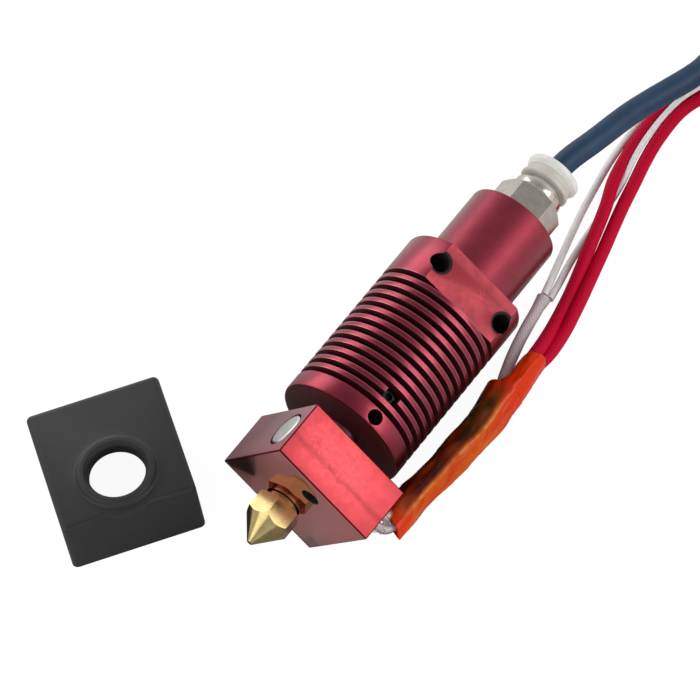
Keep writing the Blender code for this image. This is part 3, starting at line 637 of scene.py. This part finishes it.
def softbox(name, direction, distance, width, height, level):
    """An area light that faces the object; level is its brightness."""
    data = bpy.data.lights.new(name, "AREA")
    data.shape = "RECTANGLE"
    data.size = width
    data.size_y = height
    data.energy = level * math.pi * width * height
    made = bpy.data.objects.new(name, data)
    bpy.context.scene.collection.objects.link(made)
    direction = Vector(direction).normalized()
    aim(made, direction * distance, -direction, (0.0, 0.0, 1.0))


softbox("right_softbox", (0.80, 0.36, 0.56), 0.9, 0.6, 0.5, 2.5)
softbox("left_softbox", (-0.82, 0.30, 0.50), 0.9, 0.6, 0.5, 2.1)
softbox("front_softbox", (-0.25, -0.85, 0.55), 1.0, 0.6, 0.4, 1.8)

# ---------------- cords
# Routes in the bench frame, the same as the CAD solids follow.
LEAD_A = [
    (13.35, 29.6, 3.85), (13.4, 33.0, 3.75), (13.6, 36.0, 3.85), (14.1, 40.0, 4.0), (14.4, 43.0, 3.9),
    (14.2, 46.6, 3.75), (13.7, 49.8, 2.95), (12.9, 53.35, 1.9), (12.0, 57.16, 1.25), (11.2, 60.77, 1.15),
    (10.14, 65.23, 1.6), (9.13, 69.45, 2.35), (8.05, 73.43, 2.5), (6.73, 77.74, 2.5), (5.2, 81.5, 2.3),
    (4.25, 84.5, 1.7), (3.6, 87.42, 1.3), (3.05, 91.76, 1.12), (2.9, 97.4, 1.1), (3.75, 102.03, 1.1),
    (5.3, 106.3, 1.1), (7.3, 110.9, 1.1), (9.6, 116.0, 1.3),
]
LEAD_B = [
    (15.7, 29.6, 3.85), (15.75, 33.0, 3.5), (15.6, 36.0, 2.9), (15.2, 40.0, 1.85), (14.8, 43.0, 1.5),
    (14.75, 46.6, 1.3), (15.0, 50.0, 1.12), (14.55, 54.64, 1.1), (13.82, 58.3, 1.1), (13.02, 61.9, 1.1),
    (11.88, 66.5, 1.1), (10.7, 71.31, 1.1), (9.58, 75.52, 1.1), (8.5, 79.83, 1.1), (7.55, 84.37, 1.1),
    (6.55, 88.87, 1.1), (5.85, 93.54, 1.1), (5.7, 98.98, 1.1), (6.35, 102.5, 1.1), (8.1, 106.3, 1.1),
    (11.4, 111.4, 1.2),
]
THERMISTOR_A = [
    (7.75, 58.4, 1.2), (6.73, 61.9, 0.75), (5.39, 66.81, 0.56), (4.23, 71.38, 0.56), (3.18, 75.88, 0.56),
    (2.33, 80.52, 0.56), (1.57, 85.25, 0.56), (1.18, 89.4, 0.56), (1.1, 93.54, 0.56), (1.3, 97.8, 0.56),
    (2.15, 102.15, 0.56), (3.4, 106.2, 0.56), (5.0, 112.0, 0.56), (6.1, 118.0, 0.56), (6.6, 124.0, 0.56),
    (8.0, 131.0, 0.56), (10.6, 139.5, 0.56), (13.9, 148.0, 0.56),
]
THERMISTOR_B = [
    (8.9, 58.4, 1.0), (8.2, 62.06, 0.6), (7.5, 65.67, 0.56), (7.0, 69.52, 0.56), (6.55, 74.23, 0.56),
    (6.3, 78.19, 0.58), (6.15, 81.1, 0.85), (5.85, 84.0, 1.4), (5.1, 87.6, 1.85), (4.5, 91.8, 1.95),
    (4.35, 97.0, 2.05), (4.95, 101.8, 2.35), (6.4, 105.7, 2.6), (7.5, 109.3, 2.75), (8.25, 113.0, 2.75),
    (8.35, 116.2, 2.6), (8.3, 119.8, 1.0), (8.2, 122.5, 0.6), (8.4, 127.0, 0.56), (10.4, 134.5, 0.56),
    (13.2, 142.5, 0.56), (15.3, 147.6, 0.56),
]
TUBE = [
    (0.0, 63.3, 11.14), (0.0, 68.0, 11.14), (0.0, 74.0, 11.14), (0.45, 78.0, 11.05), (1.5, 82.65, 10.7),
    (2.52, 90.51, 9.2), (3.4, 95.94, 7.7), (5.94, 106.19, 5.8), (6.1, 112.0, 5.6), (5.6, 119.0, 4.3),
    (4.9, 126.0, 2.9), (4.4, 131.0, 2.3),
]
TUBE_LENGTH, LEAD_LENGTH = 400.0, 1000.0
# The middle of each coil and its mean radius.
TUBE_COIL = (-17.0, 146.0, 20.0)
HEATER_COIL = (32.0, 121.0, 15.5)
THERMISTOR_COIL = (28.0, 157.0, 9.5)


def slots(rows, pitch, low):
    """Places of turns in a bundle, (out, up) pairs, in rows from the bottom, to and fro."""
    found = []
    for level, count in enumerate(rows):
        row = [((k - (count - 1) / 2) * pitch, low + level * pitch * 0.87) for k in range(count)]
        found += row if level % 2 == 0 else row[::-1]
    return found


def winding(coil, places, start_deg, way, turns, shift=70.0, step=10.0):
    """Points of a wire wound round a coil, moving on to the next place near the end of each turn."""
    x, y, mean = coil
    found = []
    for i in range(int(turns * 360.0 / step) + 1):
        angle = i * step
        turn = int(angle // 360.0)
        here = places[min(turn, len(places) - 1)]
        there = places[min(turn + 1, len(places) - 1)]
        t = max(0.0, (angle - turn * 360.0 - (360.0 - shift)) / shift)
        t = t * t * (3 - 2 * t)
        out, up = (a + (b - a) * t for a, b in zip(here, there))
        bearing = math.radians(start_deg + way * angle)
        away = mean + out
        found.append(Vector((x + away * math.cos(bearing), y + away * math.sin(bearing), up)))
    return found


def wound(route, coil, places, start_deg, way, total, tail, first_turns=0.5):
    """A whole cord: its route, its turns, and its tail, with as many turns as its length needs."""
    best = None
    turns = first_turns
    while turns < len(places) + 0.9:
        points = curve_through(route + winding(coil, places, start_deg, way, turns) + tail, 1.5)
        miss = abs(length_of(points) - total)
        if best is None or miss < best[0]:
            best = (miss, points)
        turns += 1.0 if tail else 0.05
    return best[1]


# The feed tube, and its spare length in the coil.
tube_places = [(-2.1, 3.1), (2.1, 3.1), (0.0, 6.75)]
tube_path = wound(TUBE, TUBE_COIL, tube_places, 0.0, 1, TUBE_LENGTH, [])
bowden = tube("bowden_tube_skin", tube_path, 2.0, BLUE, sides=24, hollow=0.5)
ride(bowden, "hotend", "blue_tube", "bowden_tube", "bowden_tube_coil")

# The heater's two leads, wound together, each ending in a ferrule inside the coil.
pair = slots([3, 4, 5, 4, 3], 2.06, 1.9)
x, y, _ = HEATER_COIL
for label, route, index, shift in (("heater_lead_a", LEAD_A, 0, 2.6), ("heater_lead_b", LEAD_B, 1, -2.6)):
    end = [(x - 9.9, y - 1.4 + shift * 0.4, 7.0), (x - 8.4, y + shift * 0.9, 3.6), (x - 6.2, y + shift, 1.8),
           (x - 2.4, y + shift, 1.45)]
    points = wound(route, HEATER_COIL, pair[index::2], 170.0 if index else 162.0, -1, LEAD_LENGTH, end,
                   0.86 if index else 0.84)
    radii = [1.12 if p.y < 108.0 else 1.0 for p in points]
    made = tube(label + "_skin", points, radii, RED_BRAID, sides=16)
    ride(made, "hotend", "red_braid", label, *(["heater_leads_coil"] if index == 0 else []))

# The sensor's two leads, wound together, with one connector beside their coil.
thin_pair = slots([4, 5, 6, 6, 5, 4], 1.04, 1.35)
x, y, _ = THERMISTOR_COIL
for label, route, index, side in (("thermistor_lead_a", THERMISTOR_A, 0, -1),
                                  ("thermistor_lead_b", THERMISTOR_B, 1, 1)):
    end = [(x + 9.5, y + 10.2 + side * 0.6, 4.2), (x + 13.6 + side * 0.5, y + 9.9 + side * 0.6, 2.4),
           (x + 15.5 + side * 1.2, y + 7.6, 1.5), (x + 15.6 + side * 1.27, y + 4.4, 1.45)]
    points = wound(route, THERMISTOR_COIL, thin_pair[index::2], 172.0 if index else 165.0, -1, LEAD_LENGTH,
                   end, 0.28)
    radii = [0.62 if p.y < (75.0 if index else 112.0) else 0.5 for p in points]
    made = tube(label + "_skin", points, radii, WHITE_LEAD, sides=12)
    ride(made, "hotend", "white_wire", label, *(["thermistor_leads_coil"] if index == 0 else []))

# ---------------- heat sink
# Heights run along the hotend from the block's nozzle face.
FIN_RADIUS, GROOVE_RADIUS, NECK_RADIUS = 11.0, 6.0, 7.95
SINK_LOW, SHOULDER, SINK_TOP = 15.0, 48.4, 62.2
GROOVES, FIRST_GROOVE, FIN_PITCH, GROOVE_WIDTH = 13, 18.1, 1.818, 0.95
FLAT_AWAY, FLAT_MIDDLE = 8.0, 44.6
GRUB_LOWER, GRUB_UPPER = 16.6, 21.3
RADIAL = spin(-90.0, "X")
# Half the width across a hexagon's flats, as a share of its corner radius.
ACROSS_FLATS = math.cos(math.radians(30.0))


def sink_profile():
    points = [(NECK_RADIUS, SINK_TOP, 0.45), (NECK_RADIUS, SHOULDER, 0.2), (FIN_RADIUS, SHOULDER, 0.35)]
    for k in reversed(range(GROOVES)):
        low = FIRST_GROOVE + k * FIN_PITCH
        high = low + GROOVE_WIDTH
        points += [(FIN_RADIUS, high, 0.12), (GROOVE_RADIUS, high, 0.1), (GROOVE_RADIUS, low, 0.1),
                   (FIN_RADIUS, low, 0.12)]
    points += [(FIN_RADIUS, SINK_LOW, 0.3), (3.3, SINK_LOW, 0.15), (3.3, 36.0), (2.35, 36.0), (2.35, 56.4),
               (3.3, 56.4), (3.3, SINK_TOP, 0.25)]
    return rounded(points, 0.05)


sink = make("heat_sink_skin", lathe(sink_profile(), 128), SINK, RED_TURNED, 28.0)
boolean(sink, block((30.0, 6.0, 8.1), (0.0, FLAT_AWAY + 3.0, FLAT_MIDDLE + 0.25)), SINK)
for side in (-1, 1):
    hole = spindle([(0.0, 15.0), (2.4, 15.0), (2.4, 8.18), (1.6, 7.8), (1.6, -15.0), (0.0, -15.0)], 40, 0.02)
    boolean(sink, hole, SINK @ at(side * 7.0, 0.0, FLAT_MIDDLE) @ RADIAL)
for height, radius in ((GRUB_LOWER, 1.3), (GRUB_UPPER, 1.38)):
    hole = spindle([(0.0, 14.0), (radius, 14.0), (radius, 2.6), (0.0, 2.6)], 40)
    boolean(sink, hole, SINK @ at(0.0, 0.0, height) @ RADIAL)
resharpen(sink, 28.0)
# The milled flat has its own finish. The face over the block and the grooves get painted shade, and the fins'
# rims a painted highlight.
finishes = len(sink.data.materials)
for finish in (RED_FLANGE, RED_SHADE, RED_RIM_HIGHLIGHT, RED_GROOVE_SHADE):
    sink.data.materials.append(finish)
flat_normal = (SINK.to_3x3() @ Vector((0.0, 1.0, 0.0))).normalized()
for face in sink.data.polygons:
    inside = SINK.inverted() @ (Vector(face.center) / MM)
    out = Vector((inside.x, inside.y)).length
    if face.normal.dot(flat_normal) > 0.995 and abs(inside.y - FLAT_AWAY) < 0.03:
        face.material_index = finishes
    elif inside.z < SINK_LOW + 0.05 and out < FIN_RADIUS - 0.2:
        face.material_index = finishes + 1
    elif 18.05 < inside.z < 40.95 and GROOVE_RADIUS - 0.2 < out < FIN_RADIUS - 0.015:
        face.material_index = finishes + (2 if out > FIN_RADIUS - 0.13 else 3)
ride(sink, "hotend", "red_anodised", "heat_sink")


def set_screw(name, node, place, radius, low, high, finish):
    """A headless screw with a hexagon socket in its outer end."""
    shape = spindle([(0.0, high), (radius, high, 0.18), (radius, low, 0.3), (0.0, low)], 40, 0.1)
    made = make(name, shape, place, finish)
    boolean(made, prism(6, 0.74, high - 1.1, high + 1.0), place)
    resharpen(made)
    ride(made, "hotend", "black_steel", node)


set_screw("grub_lower_skin", "heat_break_grub_lower", SINK @ at(0.0, 0.0, GRUB_LOWER) @ RADIAL, 1.12, 3.5,
          7.5, BLACK_STEEL)
set_screw("grub_upper_skin", "heat_break_grub_upper", SINK @ at(0.0, 0.0, GRUB_UPPER) @ RADIAL, 1.18, 3.5,
          9.3, BLACK_STEEL)
set_screw("cartridge_grub_skin", "cartridge_grub_screw", HOT @ at(0.0, 9.5, 0.0) @ spin(180.0, "X"), 1.3,
          -1.75, -0.25, OILED_STEEL)

# ---------------- heat break
break_profile = [(2.65, 30.5), (2.95, 30.2), (2.95, 15.6), (2.75, 15.3), (2.75, 10.0)]
for k in range(9):
    # Nine turns of thread.
    break_profile += [(2.95, 9.85 - k * 0.6), (2.7, 9.55 - k * 0.6)]
break_profile += [(2.65, 4.5), (2.15, 4.5), (2.15, 30.5)]
# The heat break's darkened steel is painted shade.
heat_break = make("heat_break_skin", lathe(break_profile, 64), HOT, BREAK_STEEL)
ride(heat_break, "hotend", "steel", "heat_break")
inner = make("tube_inner_skin", lathe([(2.0, 63.0), (2.0, 4.7), (1.0, 4.7), (1.0, 63.0)], 32), HOT, BLUE)
ride(inner, "hotend", "blue_tube", "tube_inner_run")

# ---------------- heater block
CARTRIDGE_PLACE = HOT @ at(0.0, 9.4, 5.1) @ spin(90.0, "Y")
BEAD_PLACE = HOT @ at(0.0, 4.97, 5.0) @ spin(-90.0, "Y")
CLAMP_PLACE = HOT @ at(0.0, 1.2, 5.0) @ spin(-90.0, "Y")
BLOCK_SIZE, BLOCK_MIDDLE = (20.0, 20.0, 10.0), (0.0, 4.0, 5.0)
heater = make("heater_block_skin", block(BLOCK_SIZE, BLOCK_MIDDLE, 0.22, 2), HOT, RED_BLOCK, 30.0)
boolean(heater, spindle([(0.0, 12.0), (3.15, 12.0), (3.15, -2.0), (0.0, -2.0)], 48), HOT)
bore = spindle([(0.0, 12.0), (3.55, 12.0), (3.2, 9.75), (3.2, -9.75), (3.55, -12.0), (0.0, -12.0)], 64, 0.05)
boolean(heater, bore, CARTRIDGE_PLACE)
hole = spindle([(0.0, 3.0), (1.5, 3.0), (1.5, 0.15), (1.75, -0.2), (0.0, -0.2)], 40)
boolean(heater, hole, HOT @ at(0.0, 9.5, 0.0))
boolean(heater, spindle([(0.0, 11.0), (0.9, 11.0), (0.9, 1.0), (0.0, 1.0)], 32), BEAD_PLACE)
boolean(heater, spindle([(0.0, 11.0), (1.45, 11.0), (1.45, 5.0), (0.0, 5.0)], 32), CLAMP_PLACE)
resharpen(heater, 30.0)
# The nozzle face has its own finish; the face where the cartridge ends gets painted light, and the edges
# painted shade.
finishes = len(heater.data.materials)
for finish in (RED_MIRROR, RED_SIDE_LIT, RED_EDGE_SHADE):
    heater.data.materials.append(finish)
for face in heater.data.polygons:
    inside = HOT.inverted() @ (Vector(face.center) / MM)
    normal = HOT.to_3x3().transposed() @ face.normal
    if normal.z < -0.98 and inside.z < 0.05:
        face.material_index = finishes
    elif normal.x > 0.98 and inside.x > BLOCK_SIZE[0] / 2 - 0.1:
        face.material_index = finishes + 1
    elif max(abs(v) for v in normal) < 0.99 and face.material_index == 0:
        face.material_index = finishes + 2
ride(heater, "hotend", "red_anodised", "heater_block")

shape = spindle([(0.0, 10.1), (2.95, 10.1, 0.45), (2.95, -9.7, 0.2), (0.0, -9.7)], 64, 0.2, 4)
cartridge = make("heater_cartridge_skin", shape, CARTRIDGE_PLACE, CARTRIDGE)
ride(cartridge, "hotend", "cartridge_steel", "heater_cartridge")

shape = spindle([(0.0, 11.95), (0.9, 11.93), (1.7, 11.75), (2.3, 11.4), (2.65, 10.95), (2.75, 10.6),
                 (2.75, 10.3), (1.15, 10.3), (1.15, 5.6), (0.0, 5.6)], 48)
clamp = make("clamp_screw_skin", shape, CLAMP_PLACE, STEEL)
boolean(clamp, prism(6, 1.15, 10.9, 13.0), CLAMP_PLACE)
resharpen(clamp)
ride(clamp, "hotend", "steel", "thermistor_clamp_screw")
shape = spindle([(0.0, 3.6), (0.6, 3.4), (0.6, 1.55), (0.0, 1.35)], 24, 0.4, 4)
bead = make("thermistor_bead_skin", shape, BEAD_PLACE, GLASS_BEAD)
ride(bead, "hotend", "thermistor_glass", "thermistor_bead")

# ---------------- nozzle
TIP_LOW = -8.8
cone = math.tan(math.radians(37.5))
nozzle = make("nozzle_skin", prism(6, 3.5 / ACROSS_FLATS, TIP_LOW - 1.0, -1.0), HOT, BRASS_TURNED, 20.0)
shape = spindle([(0.0, 0.5), (3.0, 0.5), (3.85, -1.0), (4.6, -1.6), (5.0, TIP_LOW + 4.5 / cone),
                 (0.5, TIP_LOW), (0.0, TIP_LOW)], 96)
boolean(nozzle, shape, HOT, "INTERSECT")
boolean(nozzle, spindle([(0.0, 4.2), (2.55, 4.2), (2.8, 3.9), (2.8, -1.4), (0.0, -1.4)], 48), HOT, "UNION")
shape = spindle([(0.0, 5.0), (1.0, 5.0), (1.0, -6.9), (0.2, -7.9), (0.2, -10.0), (0.0, -10.0)], 32)
boolean(nozzle, shape, HOT)
resharpen(nozzle, 20.0)
one_look(nozzle, BRASS_TURNED)
ride(nozzle, "hotend", "brass", "nozzle")

# ---------------- fitting and release ring
fitting = make("fitting_skin", prism(6, 5.0 / ACROSS_FLATS, 62.5, 67.5, 40.4), HOT, NICKEL, 25.0)
shape = spindle([(0.0, 68.5), (4.3, 68.5), (4.85, 67.5), (6.6, 66.5), (6.6, 63.4), (5.1, 62.5), (0.0, 61.5)],
                64)
boolean(fitting, shape, HOT, "INTERSECT")
shape = spindle([(0.0, 69.2), (4.35, 69.2, 0.3), (4.35, 67.9, 0.2), (4.55, 67.2, 0.1), (4.55, 63.5),
                 (2.95, 63.5), (2.95, 57.2), (2.65, 56.9), (0.0, 56.9)], 64, 0.1)
boolean(fitting, shape, HOT, "UNION")
shape = spindle([(0.0, 70.2), (3.4, 70.2), (3.4, 63.2), (2.3, 63.2), (2.3, 56.0), (0.0, 56.0)], 64)
boolean(fitting, shape, HOT)
resharpen(fitting, 25.0)
one_look(fitting, NICKEL)
ride(fitting, "hotend", "nickel", "fitting_body")

ring_profile = [(4.2, 73.95, 0.3), (4.75, 73.6, 0.4), (4.75, 72.75, 0.3), (4.2, 72.3, 0.3), (4.15, 71.3, 0.2),
                (4.45, 71.0, 0.2), (4.45, 70.5, 0.2), (4.2, 70.3, 0.15), (3.0, 70.3, 0.1), (3.0, 66.8, 0.1),
                (2.3, 66.8, 0.1), (2.3, 73.6, 0.2), (2.7, 73.95, 0.25)]
ring = make("release_ring_skin", lathe(rounded(ring_profile, 0.1, 4), 96), HOT, WHITE_RING, 60.0)
# The skirt below the top flange gets painted shade.
ring.data.materials.append(RING_SHADE)
for face in ring.data.polygons:
    inside = HOT.inverted() @ (Vector(face.center) / MM)
    if 70.0 < inside.z < 72.25:
        face.material_index = 1
ride(ring, "release_ring", "white_plastic", "release_ring")
o_ring = [(2.82 + 0.36 * math.cos(-math.tau * k / 16), 63.95 + 0.36 * math.sin(-math.tau * k / 16))
          for k in range(16)]
seal = make("o_ring_skin", lathe(o_ring, 48), HOT, RUBBER)
ride(seal, "hotend", "black_rubber", "fitting_o_ring")
repaint(STEEL, "collet_claws")

# ---------------- tails, sleeve and tape
TAIL_A = [
    (13.94, 6.6, 11.27), (14.5, 6.6, 10.7), (14.9, 7.2, 10.0), (14.85, 8.4, 9.2), (14.6, 10.4, 8.1),
    (13.45, 14.2, 6.45), (13.4, 18.5, 5.45), (13.4, 24.0, 4.6),
]
TAIL_B = [
    (13.94, 4.9, 11.27), (14.9, 4.85, 10.3), (15.7, 5.3, 9.5), (16.2, 6.7, 8.9), (16.2, 10.0, 7.9),
    (15.6, 14.2, 6.45), (15.6, 18.5, 5.45), (15.65, 24.0, 4.6),
]
for label, route in (("heater_tail_a", TAIL_A), ("heater_tail_b", TAIL_B)):
    points = curve_through(route, 0.4)
    made = tube(label + "_skin", points, 0.78, CLEAR_SLEEVE, sides=20, hollow=0.7, wobble=0.05,
                seed=len(label))
    ride(made, "hotend", "glass_fibre_sleeve", label)
    core = tube(label + "_core", points, 0.42, WHITE_LEAD, sides=12)
    ride(core, "hotend", "white_wire")
THERMISTOR_TAIL = [
    (6.2, 5.0, 12.19), (9.1, 5.0, 9.56), (11.1, 5.0, 7.76), (12.35, 5.3, 6.75), (13.5, 6.6, 6.2),
    (14.7, 9.0, 5.95), (14.55, 14.2, 4.55), (14.5, 20.0, 3.35),
]
made = tube("thermistor_tail_skin", curve_through(THERMISTOR_TAIL, 0.5), 0.65, WHITE_LEAD, sides=16)
ride(made, "hotend", "white_wire", "thermistor_tail")
SLEEVE = [
    (14.5, 20.3, 3.3), (14.5, 25.0, 2.55), (14.4, 30.0, 1.85), (13.6, 35.0, 1.5), (12.7, 39.2, 1.5),
    (11.3, 42.5, 1.2), (9.6, 48.5, 1.1), (8.5, 54.5, 1.1), (8.0, 58.0, 1.1),
]
points = curve_through(SLEEVE, 0.5)
radii = [1.0 if i < len(points) - 5 else 1.0 + 0.05 * (i - len(points) + 5) for i in range(len(points))]
made = tube("thermistor_sleeve_skin", points, radii, WHITE_BRAID, sides=20, hollow=0.8, wobble=0.06, seed=3)
ride(made, "hotend", "glass_fibre_sleeve", "thermistor_sleeve")
repaint(TIN, "heater_crimp_a", "heater_crimp_b", "heater_ferrule_a", "heater_ferrule_b")

# Middle, half width and half height of the tape's wrap at places along it.
TAPE_STATIONS = [
    (16.0, 6.9, 8.1, 1.9, 2.2), (15.6, 8.8, 7.6, 2.35, 2.6), (14.9, 11.6, 6.6, 2.6, 2.7),
    (14.5, 14.6, 5.6, 2.6, 2.75), (14.5, 18.5, 4.6, 2.6, 2.75), (14.5, 22.6, 3.85, 2.65, 2.8),
    (14.5, 28.0, 3.15, 2.75, 2.85), (14.45, 33.0, 2.8, 2.95, 2.75), (14.15, 36.5, 2.8, 3.1, 2.75),
    (13.8, 39.4, 2.8, 3.2, 2.75),
]
TAPE_END = [
    (14.3, 39.2, 2.8, 2.6, 2.75), (14.75, 41.8, 2.75, 1.95, 2.7), (14.6, 43.6, 2.7, 1.9, 2.65),
    (14.4, 46.6, 2.65, 1.75, 2.6),
]


def unit(value):
    return max(0.0, min(1.0, value))


def smooth_stations(stations, count):
    """The stations filled in evenly along the bench, on one smooth line."""
    curve = curve_through([(s[0], s[1], s[2]) for s in stations], 0.1)
    ys = [s[1] for s in stations]
    found = []
    for i in range(count + 1):
        y = ys[0] + (ys[-1] - ys[0]) * i / count
        middle = min(curve, key=lambda p: abs(p.y - y))
        k = max(j for j in range(len(ys) - 1) if ys[j] <= y + 1e-6)
        t = (y - ys[k]) / (ys[k + 1] - ys[k])
        found.append((middle.x, y, middle.z, stations[k][3] + (stations[k + 1][3] - stations[k][3]) * t,
                      stations[k][4] + (stations[k + 1][4] - stations[k][4]) * t))
    return found


def tape_piece(name, stations, count, seed, nodes, cut_low, cut_high):
    """A creased wrap of tape, open at both ends, with slanting cut ends."""
    shape = bmesh.new()
    layer = shape.loops.layers.uv.new("uv")
    marks = {key: shape.verts.layers.float.new(key) for key in ("under", "crest", "wires", "shoulder")}
    sides = 64
    rings = []
    listed = smooth_stations(stations, count)
    for i, (x, y, z, half_width, half_height) in enumerate(listed):
        ring = []
        ridge = math.radians(59.0) + 0.4 * noise.noise(Vector((y * 0.11, seed, 0.0)))
        for k in range(sides):
            angle = math.tau * k / sides
            c, s = math.cos(angle), math.sin(angle)
            off = (angle - ridge + math.pi) % math.tau - math.pi
            crest = math.exp(-((off / 0.11) ** 2)) * (0.6 + 0.4 * noise.noise(Vector((y * 0.3, 2.0, seed))))
            panel = math.cos(3.0 * off) * 0.035
            long_fold = noise.noise(Vector((c * 1.4 + seed, y * 0.1, s * 1.4))) * 0.09
            short_fold = abs(noise.noise(Vector((c * 2.0, y * 0.3 + c * 1.5, s * 2.0 + seed)))) * 0.08
            helix = (y * 0.11 + k / sides) % 1.0
            drift = 1.7 * noise.noise(Vector((y * 0.16, seed, 3.0)))
            pleat = abs(math.sin(2.5 * angle + y * 0.21 + drift)) * 0.05
            reach = 1.0 + 0.08 * crest + panel + long_fold - short_fold - pleat + 0.03 * (1.0 - helix)
            reach = min(reach, 1.1)
            px = x + half_width * math.copysign(abs(c) ** 0.85, c) * reach
            pz = z + half_height * math.copysign(abs(s) ** 0.85, s) * reach
            ends = (1.0 - i / 6.0) * cut_low * c if i < 6 else 0.0
            ends += (1.0 - (len(listed) - 1 - i) / 6.0) * cut_high * c if i > len(listed) - 7 else 0.0
            v = shape.verts.new((px, y + ends, max(pz, 0.06)))
            # The under mark is painted shade along one side of the wrap, and the crest mark a painted
            # highlight along its ridge.
            side = unit((off - 0.05) / 0.22) * (1.0 if off < 2.6 else 0.0)
            fade = unit((y - 7.5) / 4.0) * unit((41.0 - y) / 6.0)
            patch = 0.9 + 0.4 * noise.noise(Vector((y * 0.2, c * 2.0, seed)))
            gleam = 1.0 + noise.noise(Vector((y * 0.9, 1.0, seed)))
            v[marks["under"]] = min(1.0, side * fade * patch)
            v[marks["crest"]] = max(0.0, crest * 0.9 * fade * gleam)
            v[marks["shoulder"]] = unit((y - 24.0) / 8.0)
            v[marks["wires"]] = max(0.0, min(0.9, max((11.0 - y) / 4.0, (y - 30.0) / 9.0)))
            ring.append(v)
        rings.append(ring)
    for i, (low, high) in enumerate(zip(rings, rings[1:])):
        for k in range(sides):
            after = (k + 1) % sides
            face = shape.faces.new((low[k], high[k], high[after], low[after]))
            for loop, (u, v) in zip(face.loops, ((k, i), (k, i + 1), (k + 1, i + 1), (k + 1, i))):
                loop[layer].uv = (u / sides, listed[v][1])
    bmesh.ops.recalc_face_normals(shape, faces=shape.faces)
    made = make(name, shape, BENCH, TAPE, 60.0)
    wall = made.modifiers.new("wall", "SOLIDIFY")
    wall.thickness = 0.12 * MM
    wall.offset = -1.0
    ride(made, "hotend", "amber_tape", *nodes)


tape_piece("tape_wrap_skin", TAPE_STATIONS, 150, 1.3, ["tape_wrap"], -0.9, 0.3)
tape_piece("tape_end_skin", TAPE_END, 34, 7.1, ["tape_wrap_end"], 0.2, 0.9)

# ---------------- silicone sock
SOCK_OUTSIDE, SOCK_INSIDE = (22.1, 23.0, 11.44), (20.2, 20.2, 12.0)
SOCK_HOLE = SOCK @ at(0.0, -4.0, 0.0)
shape = block(SOCK_OUTSIDE, (0.0, 0.0, SOCK_OUTSIDE[2] / 2), 0.95, 6, keep_low=True)
sock = make("sock_skin", shape, SOCK, SILICONE, 40.0)
collar = spindle([(0.0, 12.45), (6.1, 12.45, 0.34), (6.6, 11.52, 0.5), (8.0, 11.43, 0.3), (8.0, 10.6),
                  (0.0, 10.6)], 96, 0.3, 6)
boolean(sock, collar, SOCK_HOLE, "UNION")
boolean(sock, block(SOCK_INSIDE, (0.0, 0.0, 4.0), 0.6, 3), SOCK)
hole = spindle([(0.0, 14.0), (6.2, 14.0), (5.15, 12.3, 0.3), (4.6, 11.5, 0.5), (4.5, 8.0), (0.0, 8.0)], 96,
               0.2, 5)
boolean(sock, hole, SOCK_HOLE)
resharpen(sock, 40.0)
one_look(sock, SILICONE)
ride(sock, "silicone_sock", "charcoal_silicone", "silicone_sock")

repaint(BLACK_PLASTIC, "tube_coil_tie", "heater_coil_tie", "thermistor_coil_tie", "thermistor_connector")
